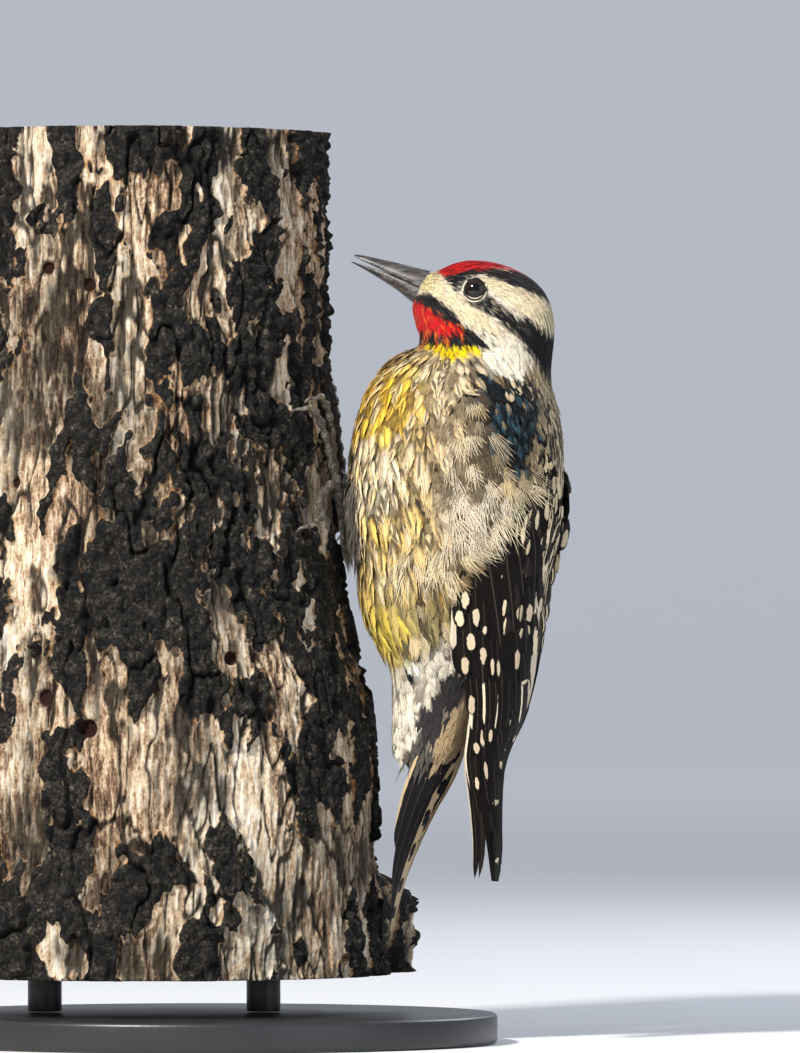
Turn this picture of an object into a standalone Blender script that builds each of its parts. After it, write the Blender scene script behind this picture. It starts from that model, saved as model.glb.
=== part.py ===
"""A sapsucker clinging to a cut length of tree trunk, held up by a plain display stand.

The bird is lofted in its own upright frame (front towards -X, left side towards -Y) and one
empty turns it a little about the vertical. The underside of the stand is at z = 0.
"""

import math

import bmesh
import bpy
import numpy as np
from mathutils import Matrix, Vector

MM = 0.001
GAP = 0.3 * MM
COLLECTION = "sapsucker_on_perch"

# The bird's place: the empty stands under the middle of the body.
BIRD_X = 66 * MM
BIRD_Y = -5 * MM
BIRD_YAW = math.radians(-6)

# Head, neck, body and rump: front x, front z, back x, back z, half width, in millimetres.
# The sections fan round the throat, then run square to the leaning body.
SECTIONS = (
    (55.4, 196.1, 59.2, 204.3, 3.6),
    (55.1, 194.5, 61.7, 204.4, 5.2),
    (55.7, 191.9, 65.5, 206.2, 7.5),
    (56.3, 189.5, 69.4, 207.4, 9.3),
    (57.0, 187.4, 73.9, 207.5, 10.8),
    (57.4, 186.0, 79.5, 206.4, 11.8),
    (57.5, 185.5, 84.8, 204.2, 12.3),
    (57.5, 185.1, 89.3, 200.9, 12.6),
    (57.2, 184.7, 92.2, 196.6, 12.8),
    (56.7, 184.4, 93.5, 191.6, 13.0),
    (55.4, 184.0, 93.7, 185.8, 13.6),
    (53.0, 183.4, 93.4, 179.9, 15.0),
    (49.8, 181.7, 93.5, 174.4, 17.2),
    (46.4, 178.6, 94.6, 169.9, 19.5),
    (42.9, 173.8, 96.2, 164.8, 21.5),
    (40.5, 167.7, 96.9, 158.2, 23.0),
    (39.0, 159.8, 97.0, 149.7, 24.0),
    (37.9, 151.3, 96.0, 140.7, 24.5),
    (38.4, 142.6, 92.6, 131.6, 24.3),
    (39.5, 133.3, 90.0, 121.9, 23.5),
    (40.3, 123.2, 86.7, 112.6, 22.0),
    (41.3, 114.7, 83.0, 103.6, 19.5),
    (44.0, 107.9, 79.5, 96.7, 16.5),
    (47.2, 102.6, 76.2, 90.9, 13.5),
    (48.8, 96.7, 73.3, 85.1, 11.0),
    (49.0, 89.6, 71.0, 79.8, 9.5),
    (49.0, 81.6, 68.6, 75.0, 8.5),
    (49.3, 74.5, 66.6, 71.8, 7.5),
)
STEPS_PER_SECTION = 2
AROUND = 24
ROUNDNESS = 0.92

# Planes that part the flesh into nodes, each through two points of the side view.
NECK_CUT = ((56.7, 184.4), (93.5, 191.6))
BODY_CUT = ((49.8, 181.7), (93.5, 174.4))
RUMP_CUT = ((47.2, 102.6), (76.2, 90.9))

# Each half of the bill: ridge x, z, edge x, z, half width.
UPPER_BILL = (
    (58.9, 204.4, 57.0, 200.5, 3.45),
    (54.5, 205.6, 53.0, 202.3, 3.0),
    (50.3, 206.7, 48.9, 204.2, 2.35),
    (46.0, 207.7, 45.0, 206.0, 1.7),
    (42.3, 208.5, 41.9, 207.4, 1.0),
    (40.1, 208.8, 40.1, 208.4, 0.45),
)
LOWER_BILL = (
    (55.1, 196.4, 56.9, 200.1, 3.3),
    (51.6, 199.3, 52.8, 201.9, 2.8),
    (47.6, 201.9, 48.6, 203.7, 2.1),
    (44.0, 204.1, 44.6, 205.2, 1.4),
    (41.0, 205.8, 41.3, 206.3, 0.8),
    (39.2, 206.75, 39.3, 206.95, 0.35),
)

EYE_CENTRE = (73.2, 8.9, 199.5)
EYE_RADIUS = 2.75
EYE_BULGE = 1.9

# The folded wing's outer face: front x, z, back x, z, half width, then the angle from the
# breast round to the back where the wing starts and where it ends, in degrees.
WING_SECTIONS = (
    (43.5, 176.2, 96.8, 167.0, 22.3, 92, 122),
    (39.4, 167.9, 98.2, 158.0, 24.9, 86, 140),
    (37.6, 160.0, 98.4, 149.5, 25.9, 85, 152),
    (36.6, 151.4, 97.4, 140.5, 26.3, 86, 164),
    (37.0, 142.8, 94.8, 131.2, 26.1, 88, 175),
    (38.0, 133.6, 92.2, 121.5, 25.3, 92, 178),
    (39.8, 123.6, 90.4, 111.5, 23.8, 96, 178),
    (43.6, 112.0, 88.7, 99.5, 21.5, 99, 178),
    (49.6, 97.5, 85.8, 87.5, 17.5, 101, 178),
    (55.4, 86.5, 82.0, 78.8, 13.5, 101, 178),
    (60.0, 78.6, 79.9, 72.0, 11.5, 99, 177),
    (66.4, 66.8, 79.3, 62.0, 9.5, 100, 176),
    (70.6, 56.2, 79.2, 52.0, 8.0, 104, 175),
    (73.6, 49.0, 78.7, 46.0, 7.0, 110, 174),
    (76.4, 44.0, 78.1, 42.9, 6.4, 120, 172),
)
WING_THICKNESS = 0.8
WING_ACROSS = 7

# The long outermost primary below the wing: middle x, y, z and half width.
PRIMARY = (
    (71.6, -13.0, 76.0, 1.3),
    (72.4, -11.4, 66.0, 1.6),
    (72.9, -10.2, 56.0, 1.2),
    (72.7, -9.4, 43.6, 0.35),
)
PRIMARY_THICKNESS = 0.7
RIGHT_PRIMARY_SHIFT = 3.0

# The tail, arched across: ridge x, z, edge x, z and half width.
TAIL_SECTIONS = (
    (66.2, 71.0, 53.2, 73.0, 8.5),
    (62.5, 65.0, 51.4, 66.3, 10.5),
    (59.0, 57.8, 49.8, 58.0, 11.6),
    (55.7, 50.3, 48.6, 50.0, 12.0),
    (52.8, 42.5, 48.2, 42.0, 11.0),
    (51.0, 36.2, 47.9, 35.5, 8.5),
    (49.7, 31.0, 47.9, 30.5, 5.0),
    (48.9, 26.8, 48.4, 26.9, 1.2),
)
TAIL_THICKNESS = 0.8
TAIL_ACROSS = 10
TAIL_ARCH_POWER = 1.7

# The perch: height, middle x and radius of a leaning round log with a ridge on its far side.
LOG_Y = 4.0
LOG_PROFILE = (
    (18.0, -13.0, 60.5),
    (46.0, -12.3, 60.0),
    (70.0, -12.6, 59.2),
    (91.0, -13.4, 58.2),
    (110.0, -15.8, 56.0),
    (128.0, -17.0, 54.0),
    (165.0, -18.6, 53.4),
    (213.0, -19.8, 53.2),
    (241.0, -20.7, 53.0),
)
LOG_RIDGE_ANGLE = 20.0
LOG_RIDGE_SPREAD = 7.5
LOG_RIDGE_HEIGHT = 14.0
LOG_RIDGE_TOP = 49.0
LOG_RIDGE_RISE = 13.0
LOG_AROUND = 40
LOG_STEPS = 2

# The feet on the log: each toe's angles round the log and heights, outwards from the ankle.
ANKLE = (-17.0, 149.0)
TOES = {
    "outer_front": ((-19, 154), (-22, 160.5), (-26, 165.5), (-32, 168), (-38, 167)),
    "inner_front": ((-16, 155), (-17, 162.5), (-20, 168), (-25, 171), (-31, 170)),
    "outer_rear": ((-22, 147), (-28, 144), (-27, 139.5), (-32, 137.5), (-38, 136)),
    "inner_rear": ((-15, 145), (-12, 141.5), (-10, 138.5), (-10, 136), (-13, 134)),
}
TOE_RADII = (1.15, 1.1, 1.0, 0.75, 0.3)
HEEL = (-15.0, 131.0)
HEEL_OFF = 3.4
KNEE = (50.0, -13.0, 136.0)
SHANK_RADIUS = 1.3
SHIN_RADII = (1.7, 2.6, 3.0)
FOOT_MIRROR_ANGLE = -6.0
RIGHT_FOOT_RAISE = 5.0

# The stand.
BASE_RADIUS = 78.0
BASE_HEIGHT = 8.0
BASE_BEVEL = 1.0
ROD_RADIUS = 4.5
ROD_PLACES = {"stand_rod_front": (16.0, 4.0), "stand_rod_rear": (-42.0, 4.0)}

SKIN_COLOURS = {
    "head": (0.75, 0.72, 0.66),
    "neck": (0.12, 0.12, 0.13),
    "body": (0.62, 0.53, 0.30),
    "rump": (0.80, 0.78, 0.72),
}
WING_COLOUR = (0.035, 0.030, 0.028)
BILL_COLOUR = (0.10, 0.10, 0.11)
EYE_COLOUR = (0.02, 0.01, 0.01)
FOOT_COLOUR = (0.22, 0.23, 0.22)
BARK_COLOUR = (0.16, 0.14, 0.12)
STAND_COLOUR = (0.05, 0.05, 0.055)


def clear_scene():
    """Start from an empty file."""
    for item in list(bpy.data.objects):
        bpy.data.objects.remove(item, do_unlink=True)


def collection(name):
    """A collection of the scene, made on first use."""
    found = bpy.data.collections.get(name)
    if found is None:
        found = bpy.data.collections.new(name)
        bpy.context.scene.collection.children.link(found)
    return found


def make_bird_frame():
    """The empty that carries the bird, turned about the middle of the body."""
    bird = bpy.data.objects.new("bird", None)
    collection(COLLECTION).objects.link(bird)
    middle = Vector((BIRD_X, 0, 0))
    bird.rotation_euler.z = BIRD_YAW
    bird.location = middle + Vector((0, BIRD_Y, 0)) - Matrix.Rotation(BIRD_YAW, 3, "Z") @ middle
    bpy.context.view_layer.update()
    return bird


def material(name, colour, roughness=0.7, metallic=0.0):
    """A plain Principled material."""
    made = bpy.data.materials.new(name)
    made.use_nodes = True
    shader = made.node_tree.nodes["Principled BSDF"]
    shader.inputs["Base Color"].default_value = (*colour, 1.0)
    shader.inputs["Roughness"].default_value = roughness
    shader.inputs["Metallic"].default_value = metallic
    made.diffuse_color = (*colour, 1.0)
    return made


def add_object(name, bm, parent=None):
    """Turn a bmesh into a smooth-shaded object of the model."""
    bmesh.ops.recalc_face_normals(bm, faces=bm.faces)
    mesh = bpy.data.meshes.new(name)
    bm.to_mesh(mesh)
    bm.free()
    mesh.shade_smooth()
    mesh.set_sharp_from_angle(angle=math.radians(40))
    made = bpy.data.objects.new(name, mesh)
    collection(COLLECTION).objects.link(made)
    made.parent = parent
    return made


def make_cutter(tool):
    """Move an object to the cutters, so that it only shapes others."""
    collection(COLLECTION).objects.unlink(tool)
    collection("cutters").objects.link(tool)
    tool.hide_render = True
    tool.display_type = "WIRE"
    return tool


def boolean(target, tool, operation):
    """Cut a target with a tool, or join the tool to it."""
    modifier = target.modifiers.new(f"{operation}_{tool.name}".lower(), "BOOLEAN")
    modifier.operation = operation
    modifier.object = tool
    modifier.solver = "EXACT"


def smooth_row(table, position):
    """A Catmull-Rom reading of a table's rows at a position counted in rows."""
    last = len(table) - 1
    row = min(int(position), last - 1)
    t = position - row
    before, start, end, after = (table[min(max(row + k, 0), last)] for k in (-1, 0, 1, 2))
    values = []
    for a, b, c, d in zip(before, start, end, after):
        slope_b, slope_c = (c - a) / 2, (d - b) / 2
        values.append(
            (2 * t**3 - 3 * t**2 + 1) * b + (t**3 - 2 * t**2 + t) * slope_b
            + (3 * t**2 - 2 * t**3) * c + (t**3 - t**2) * slope_c
        )
    return values


def smooth_rows(table, steps):
    """Every row of a table with smooth rows read between them."""
    count = (len(table) - 1) * steps
    return [smooth_row(table, k / steps) for k in range(count + 1)]


def power(value, exponent):
    """A signed power, for superellipses."""
    return math.copysign(abs(value) ** exponent, value)


def section_point(row, angle, grow=0.0):
    """A point of an oval section, its angle measured from the front round the left side."""
    front = Vector((row[0], 0, row[1]))
    back = Vector((row[2], 0, row[3]))
    middle = (front + back) / 2
    reach = (front - back) / 2
    along = reach + reach.normalized() * grow
    side = Vector((0, -(row[4] + grow), 0))
    point = middle + along * power(math.cos(angle), ROUNDNESS)
    return (point + side * power(math.sin(angle), ROUNDNESS)) * MM


def loft(bm, rings):
    """Skin closed rings of equal count and cap both ends."""
    loops = [[bm.verts.new(point) for point in ring] for ring in rings]
    for lower, upper in zip(loops, loops[1:]):
        for k in range(len(lower)):
            n = (k + 1) % len(lower)
            bm.faces.new((lower[k], lower[n], upper[n], upper[k]))
    bm.faces.new(loops[0][::-1])
    bm.faces.new(loops[-1])


def sheet(bm, rows):
    """Skin open rows of equal count into one surface."""
    lines = [[bm.verts.new(point) for point in row] for row in rows]
    for lower, upper in zip(lines, lines[1:]):
        for k in range(len(lower) - 1):
            bm.faces.new((lower[k], lower[k + 1], upper[k + 1], upper[k]))


def flesh(grow=0.0):
    """The whole head, neck and body as one closed loft."""
    bm = bmesh.new()
    angles = [2 * math.pi * k / AROUND for k in range(AROUND)]
    rows = smooth_rows(SECTIONS, STEPS_PER_SECTION)
    loft(bm, [[section_point(row, angle, grow) for angle in angles] for row in rows])
    return bm


def keep_side(bm, cut, above):
    """Keep what lies above or below a plane square to the side view, and close the cut."""
    start = Vector((cut[0][0], 0, cut[0][1])) * MM
    along = Vector((cut[1][0], 0, cut[1][1])) * MM - start
    normal = Vector((-along.z, 0, along.x)).normalized()
    if not above:
        normal = -normal
    geometry = bm.verts[:] + bm.edges[:] + bm.faces[:]
    result = bmesh.ops.bisect_plane(
        bm, geom=geometry, dist=1e-7, plane_co=start + normal * GAP / 2,
        plane_no=normal, clear_inner=True,
    )
    edges = [item for item in result["geom_cut"] if isinstance(item, bmesh.types.BMEdge)]
    bmesh.ops.holes_fill(bm, edges=edges, sides=0)


def make_flesh(bird):
    """Head, neck, body and rump, parted by narrow plane cuts."""
    cuts = {
        "head": ((NECK_CUT, True),),
        "neck": ((NECK_CUT, False), (BODY_CUT, True)),
        "body": ((BODY_CUT, False), (RUMP_CUT, True)),
        "rump": ((RUMP_CUT, False),),
    }
    made = {}
    for name, planes in cuts.items():
        bm = flesh()
        for cut, above in planes:
            keep_side(bm, cut, above)
        made[name] = add_object(name, bm, bird)
        made[name].data.materials.append(material(name, SKIN_COLOURS[name]))
    return made


def ellipsoid(name, centre, radii, parent):
    """A squashed sphere."""
    bm = bmesh.new()
    bmesh.ops.create_uvsphere(bm, u_segments=16, v_segments=8, radius=1)
    bmesh.ops.scale(bm, vec=[r * MM for r in radii], verts=bm.verts)
    bmesh.ops.translate(bm, vec=[c * MM for c in centre], verts=bm.verts)
    return add_object(name, bm, parent)


def make_eyes(bird, head):
    """Both eyes, each in a socket cut in the head."""
    x, y, z = EYE_CENTRE
    iris = material("eye", EYE_COLOUR, 0.08)
    for name, side in (("eye_left", -1), ("eye_right", 1)):
        radii = (EYE_RADIUS, EYE_BULGE, EYE_RADIUS)
        eye = ellipsoid(name, (x, side * y, z), radii, bird)
        eye.data.materials.append(iris)
        clear = [radius + GAP / MM for radius in radii]
        socket = make_cutter(ellipsoid(f"socket_{name}", (x, side * y, z), clear, bird))
        boolean(head, socket, "DIFFERENCE")


def make_bill(bird):
    """The two halves of the bill, a little apart at the tip."""
    horn = material("bill", BILL_COLOUR, 0.35)
    for name, table in (("bill_upper", UPPER_BILL), ("bill_lower", LOWER_BILL)):
        rings = []
        for ridge_x, ridge_z, edge_x, edge_z, half in smooth_rows(table, 2):
            edge = Vector((edge_x, 0, edge_z))
            rise = Vector((ridge_x, 0, ridge_z)) - edge
            ring = []
            for k in range(11):
                angle = math.pi * k / 10
                point = edge + rise * math.sin(angle) ** 0.85
                point += Vector((0, half * math.cos(angle), 0))
                ring.append(point * MM)
            rings.append(ring)
        bm = bmesh.new()
        loft(bm, rings)
        add_object(name, bm, bird).data.materials.append(horn)


def thicken(made, thickness):
    """Give an open surface an even thickness behind its face."""
    solid = made.modifiers.new("thickness", "SOLIDIFY")
    solid.thickness = thickness * MM
    solid.offset = -1
    solid.use_even_offset = True


def outward_sheet(name, rows, parent, outward):
    """An open surface with its faces turned to one side."""
    bm = bmesh.new()
    sheet(bm, rows)
    bm.normal_update()
    middle = bm.faces[:][len(bm.faces) // 2]
    if middle.normal.dot(outward) < 0:
        bmesh.ops.reverse_faces(bm, faces=bm.faces)
    mesh = bpy.data.meshes.new(name)
    bm.to_mesh(mesh)
    bm.free()
    mesh.shade_smooth()
    made = bpy.data.objects.new(name, mesh)
    collection(COLLECTION).objects.link(made)
    made.parent = parent
    return made


def make_wings(bird):
    """The folded wings, wrapped round the sides from the flank to the back."""
    vane = material("wing", WING_COLOUR, 0.55)
    for name, side in (("left", 1), ("right", -1)):
        rows = []
        for row in smooth_rows(WING_SECTIONS, 2):
            start, end = (math.radians(value) for value in row[5:7])
            angles = [start + (end - start) * k / WING_ACROSS for k in range(WING_ACROSS + 1)]
            points = [section_point(row, angle) for angle in angles]
            rows.append([Vector((p.x, p.y * side, p.z)) for p in points])
        wing = outward_sheet(f"wing_{name}", rows, bird, Vector((0.4, -side, 0)))
        wing.data.materials.append(vane)
        thicken(wing, WING_THICKNESS)
        blade = []
        shift = RIGHT_PRIMARY_SHIFT if name == "right" else 0.0
        for x, y, z, half in smooth_rows(PRIMARY, 3):
            x += shift
            blade.append([
                Vector((x + half * turn, y * side + 0.5 * half * turn * side, z)) * MM
                for turn in (-1, 0, 1)
            ])
        primary = outward_sheet(f"primary_{name}", blade, bird, Vector((0, -side, 0)))
        primary.data.materials.append(vane)
        thicken(primary, PRIMARY_THICKNESS)


def make_tail(bird):
    """The stiff tail, arched across and running to a point."""
    rows = []
    for ridge_x, ridge_z, edge_x, edge_z, half in smooth_rows(TAIL_SECTIONS, 2):
        ridge = Vector((ridge_x, 0, ridge_z))
        fall = Vector((edge_x, 0, edge_z)) - ridge
        row = []
        for k in range(TAIL_ACROSS + 1):
            across = 2 * k / TAIL_ACROSS - 1
            point = ridge + fall * abs(across) ** TAIL_ARCH_POWER
            row.append((point + Vector((0, half * across, 0))) * MM)
        rows.append(row)
    tail = outward_sheet("tail", rows, bird, Vector((1, 0, 0)))
    tail.data.materials.append(material("tail", WING_COLOUR, 0.55))
    thicken(tail, TAIL_THICKNESS)


def log_row(height):
    """The log's middle x and radius at a height."""
    heights = [row[0] for row in LOG_PROFILE]
    position = float(np.interp(height, heights, range(len(heights))))
    return smooth_row(LOG_PROFILE, position)[1:]


def log_point(degrees, height, off=0.0):
    """A point on the log, or off its surface, at an angle from +X round towards +Y."""
    middle, radius = log_row(height)
    ridge = math.exp(-(((degrees - LOG_RIDGE_ANGLE) / LOG_RIDGE_SPREAD) ** 2))
    rise = min(max((LOG_RIDGE_TOP - height) / LOG_RIDGE_RISE, 0), 1)
    radius += LOG_RIDGE_HEIGHT * ridge * rise**2 * (3 - 2 * rise) + off
    angle = math.radians(degrees)
    place = (middle + radius * math.cos(angle), LOG_Y + radius * math.sin(angle), height)
    return Vector(place) * MM


def make_log():
    """The cut length of trunk, with flat sawn ends."""
    heights = [row[0] for row in smooth_rows(LOG_PROFILE, LOG_STEPS)]
    degrees = [360 * k / LOG_AROUND - 180 for k in range(LOG_AROUND)]
    bm = bmesh.new()
    loft(bm, [[log_point(turn, height) for turn in degrees] for height in heights])
    log = add_object("perch_log", bm)
    log.data.materials.append(material("bark", BARK_COLOUR, 0.95))


def tube(name, points, radii):
    """A round tapering tube through a few points, as a closed mesh."""
    curve = bpy.data.curves.new(name, "CURVE")
    curve.dimensions = "3D"
    curve.bevel_depth = 1.0
    curve.bevel_resolution = 1
    curve.use_fill_caps = True
    rows = [(*point, radius * MM) for point, radius in zip(points, radii)]
    rows = smooth_rows(rows, 2)
    spline = curve.splines.new("POLY")
    spline.points.add(len(rows) - 1)
    for point, (x, y, z, radius) in zip(spline.points, rows):
        point.co = (x, y, z, 1.0)
        point.radius = radius
    holder = bpy.data.objects.new(f"{name}_curve", curve)
    bpy.context.scene.collection.objects.link(holder)
    bpy.context.view_layer.update()
    evaluated = holder.evaluated_get(bpy.context.evaluated_depsgraph_get())
    bm = bmesh.new()
    bm.from_mesh(bpy.data.meshes.new_from_object(evaluated))
    bmesh.ops.remove_doubles(bm, verts=bm.verts, dist=1e-6)
    bpy.data.objects.remove(holder, do_unlink=True)
    return add_object(name, bm)


def make_feet(bird, body_clearance):
    """Both legs and feet: two toes up and two down on the bark, shanks back to the belly."""
    scales = material("foot", FOOT_COLOUR, 0.6)
    plumes = material("leg", SKIN_COLOURS["body"])
    for name, side, raise_by in (("left", 1, 0.0), ("right", -1, RIGHT_FOOT_RAISE)):

        def on_log(degrees, height, off):
            turned = degrees if side > 0 else FOOT_MIRROR_ANGLE - degrees
            return log_point(turned, height + raise_by, off)

        ankle = on_log(*ANKLE, 2.0)
        heel = on_log(*HEEL, HEEL_OFF)
        knee = Vector((KNEE[0], KNEE[1] * side, KNEE[2] + raise_by)) * MM
        knee = bird.matrix_world @ knee
        foot = tube(
            f"foot_{name}", (ankle, ankle.lerp(heel, 0.5), heel), [SHANK_RADIUS] * 3
        )
        foot.data.materials.append(scales)
        for toe, steps in TOES.items():
            path = [ankle.copy()]
            for (degrees, height), radius in zip(steps, TOE_RADII):
                path.append(on_log(degrees, height, radius + 0.45))
            radii = (TOE_RADII[0], *TOE_RADII)
            boolean(foot, make_cutter(tube(f"toe_{toe}_{name}", path, radii)), "UNION")
        start = heel + (knee - heel).normalized() * (SHANK_RADIUS * MM + GAP)
        leg = tube(f"leg_{name}", (start, start.lerp(knee, 0.5), knee), SHIN_RADII)
        leg.data.materials.append(plumes)
        boolean(leg, body_clearance, "DIFFERENCE")


def make_stand():
    """A round base and two short rods up to the log."""
    paint = material("stand", STAND_COLOUR, 0.45)
    bm = bmesh.new()
    bmesh.ops.create_cone(
        bm, cap_ends=True, segments=40, radius1=BASE_RADIUS * MM, radius2=BASE_RADIUS * MM,
        depth=BASE_HEIGHT * MM,
    )
    base = add_object("stand_base", bm)
    base.location.z = BASE_HEIGHT * MM / 2
    base.data.materials.append(paint)
    bevel = base.modifiers.new("edge", "BEVEL")
    bevel.width = BASE_BEVEL * MM
    bevel.segments = 2
    bottom = BASE_HEIGHT * MM + GAP
    length = LOG_PROFILE[0][0] * MM - GAP - bottom
    for name, (x, y) in ROD_PLACES.items():
        bm = bmesh.new()
        bmesh.ops.create_cone(
            bm, cap_ends=True, segments=24, radius1=ROD_RADIUS * MM,
            radius2=ROD_RADIUS * MM, depth=length,
        )
        rod = add_object(name, bm)
        rod.location = (x * MM, y * MM, bottom + length / 2)
        rod.data.materials.append(paint)


def main():
    """Build the whole model."""
    clear_scene()
    bird = make_bird_frame()
    parts = make_flesh(bird)
    make_eyes(bird, parts["head"])
    make_bill(bird)
    make_wings(bird)
    make_tail(bird)
    clearance = make_cutter(add_object("body_clearance", flesh(GAP / MM), bird))
    make_feet(bird, clearance)
    make_log()
    make_stand()


main()
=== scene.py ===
# %% [markdown]
# # A sapsucker on a cut length of trunk
# A small woodpecker clings to bark, and a round stand holds the trunk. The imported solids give
# every place and size. This script dresses them: one skin under the bird's plumage, thousands
# of feathers in joined meshes, a rough bark, a wet eye and a horny bill.

# %% Load the frame
import math

import bmesh
import bpy
import numpy as np
from mathutils import Matrix, Vector
from mathutils.bvhtree import BVHTree
from mathutils.kdtree import KDTree


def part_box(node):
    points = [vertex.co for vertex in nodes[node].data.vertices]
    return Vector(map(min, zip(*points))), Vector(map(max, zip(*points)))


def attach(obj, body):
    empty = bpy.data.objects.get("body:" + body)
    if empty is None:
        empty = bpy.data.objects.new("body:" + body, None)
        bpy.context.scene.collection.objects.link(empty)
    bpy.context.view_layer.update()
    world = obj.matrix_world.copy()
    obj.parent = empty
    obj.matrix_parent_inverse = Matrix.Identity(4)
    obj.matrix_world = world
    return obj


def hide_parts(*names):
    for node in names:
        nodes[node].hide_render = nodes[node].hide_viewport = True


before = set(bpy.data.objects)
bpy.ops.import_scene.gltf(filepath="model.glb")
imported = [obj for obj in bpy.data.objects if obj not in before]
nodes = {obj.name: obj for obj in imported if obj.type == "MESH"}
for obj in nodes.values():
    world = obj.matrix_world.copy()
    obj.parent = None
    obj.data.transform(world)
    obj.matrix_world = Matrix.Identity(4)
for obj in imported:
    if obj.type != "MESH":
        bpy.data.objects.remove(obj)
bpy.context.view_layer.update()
MM = 0.001

# %% [markdown]
# ## The camera
# The camera stands three metres back with a very long lens, at about the bird's own height,
# so the bird is seen almost square from its left side and near parts hardly grow.

# %% Camera
VIEW_MIDDLE = Vector((0.0522, 0.0, 0.1368))
VIEW_HEIGHT = 0.279
CAMERA_DISTANCE = 3.0
CAMERA_TIP = math.radians(0.5)
SENSOR = 36.0


def new_object(name, data):
    """A new object in the scene."""
    made = bpy.data.objects.new(name, data)
    bpy.context.scene.collection.objects.link(made)
    return made


camera_data = bpy.data.cameras.new("camera")
camera_data.sensor_width = SENSOR
camera_data.lens = SENSOR / 2 / (VIEW_HEIGHT / 2 / CAMERA_DISTANCE)
camera_data.clip_start, camera_data.clip_end = 0.1, 20.0
camera = new_object("camera", camera_data)
back = Vector((0.0, -math.cos(CAMERA_TIP), -math.sin(CAMERA_TIP)))
camera.location = VIEW_MIDDLE + back * CAMERA_DISTANCE
camera.rotation_euler = (math.pi / 2 + CAMERA_TIP, 0.0, 0.0)
bpy.context.scene.camera = camera
print("camera height above the floor:", round(camera.location.z, 4), "m")

# %% [markdown]
# ## Shader maths
# A material's sums are easier to read as Python than as a web of nodes. One small class wraps
# a socket: its operators add Math nodes, and `make` adds any other node.

# %% A socket that does arithmetic


class Shade:
    """A shader socket with arithmetic, in the node tree that it belongs to."""

    def __init__(self, tree, socket=None):
        self.tree = tree
        self.socket = socket

    def make(self, kind, settings=None, inputs=None, output=0):
        """Add a node with its settings and inputs, and give one of its outputs."""
        node = self.tree.nodes.new(kind)
        for name, value in (settings or {}).items():
            if name == "stops":
                while len(node.color_ramp.elements) < len(value):
                    node.color_ramp.elements.new(1.0)
                for element, (place, colour) in zip(node.color_ramp.elements, value):
                    element.position = place
                    element.color = (*colour, 1.0)
            else:
                setattr(node, name, value)
        for name, value in (inputs or {}).items():
            if isinstance(value, Shade):
                self.tree.links.new(value.socket, node.inputs[name])
            else:
                node.inputs[name].default_value = value
        return Shade(self.tree, node.outputs[output])

    def maths(self, operation, *values):
        """A Math node on this socket and the values that follow."""
        inputs = dict(enumerate((self, *values)))
        return self.make("ShaderNodeMath", {"operation": operation}, inputs)

    def __add__(self, value):
        return self.maths("ADD", value)

    __radd__ = __add__

    def __sub__(self, value):
        return self.maths("SUBTRACT", value)

    def __rsub__(self, value):
        inputs = {0: value, 1: self}
        return self.make("ShaderNodeMath", {"operation": "SUBTRACT"}, inputs)

    def __mul__(self, value):
        return self.maths("MULTIPLY", value)

    __rmul__ = __mul__

    def __truediv__(self, value):
        return self.maths("DIVIDE", value)

    def __pow__(self, value):
        return self.maths("POWER", value)

    def step(self, low, high):
        """0 below low, 1 above high and smooth between."""
        settings = {"interpolation_type": "SMOOTHSTEP"}
        inputs = {"Value": self, "From Min": low, "From Max": high}
        return self.make("ShaderNodeMapRange", settings, inputs)

    def blend(self, low, high):
        """A colour between two colours, with this socket as the share of the second."""
        inputs = {"Factor": self, 6: low, 7: high}
        return self.make("ShaderNodeMix", {"data_type": "RGBA"}, inputs, output=2)


print("shader maths ready")

# %% [markdown]
# Colours are written as on a screen, and a shader takes them as linear light.

# %% Colours


def colour(red, green, blue):
    """A screen colour from 0 to 255 as the linear colour that a shader takes."""
    parts = np.array([red, green, blue]) / 255
    linear = np.where(parts <= 0.04045, parts / 12.92, ((parts + 0.055) / 1.055) ** 2.4)
    return tuple(float(v) for v in linear)


def rgba(*parts):
    """The same with an alpha of 1."""
    return (*colour(*parts), 1.0)


NIGHT = (0.0, 0.0, 0.0, 1.0)
NEAR_BLACK = (0.02, 0.02, 0.02, 1.0)
print("colours ready")

# %% [markdown]
# A few short functions give the textures, attributes and bumps that every material here is
# made of.

# %% Materials and common nodes


def new_material(name, **constants):
    """A material with its shader, and a Shade to start sums from."""
    made = bpy.data.materials.new(name)
    made.use_nodes = True
    shader = made.node_tree.nodes["Principled BSDF"]
    for socket, value in constants.items():
        shader.inputs[socket.replace("_", " ")].default_value = value
    return made, shader, Shade(made.node_tree)


def plug(shader, **sums):
    """Link sums to the shader's sockets, each named after its socket."""
    for socket, value in sums.items():
        value.tree.links.new(value.socket, shader.inputs[socket.replace("_", " ")])


def bumped(height, distance, strength=1.0):
    """A Bump node from a height between 0 and 1, over a distance in metres."""
    inputs = {"Height": height, "Distance": distance, "Strength": strength}
    return height.make("ShaderNodeBump", None, inputs)


def attribute(start, name, output=0):
    """A value that the mesh carries: as a colour, 1 as a vector, 2 as a number, 3 its alpha."""
    return start.make("ShaderNodeAttribute", {"attribute_name": name}, output=output)


def mapped(start, **changes):
    """The object's own coordinates, moved, turned or scaled."""
    place = start.make("ShaderNodeTexCoord", output=3)
    return start.make("ShaderNodeMapping", None, {"Vector": place, **changes})


def speckles(start, scale, detail, place=None, **more):
    """A noise texture on the object's own coordinates, or at another place."""
    place = place or start.make("ShaderNodeTexCoord", output=3)
    inputs = {"Vector": place, "Scale": scale, "Detail": detail, **more}
    return start.make("ShaderNodeTexNoise", None, inputs)


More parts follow.
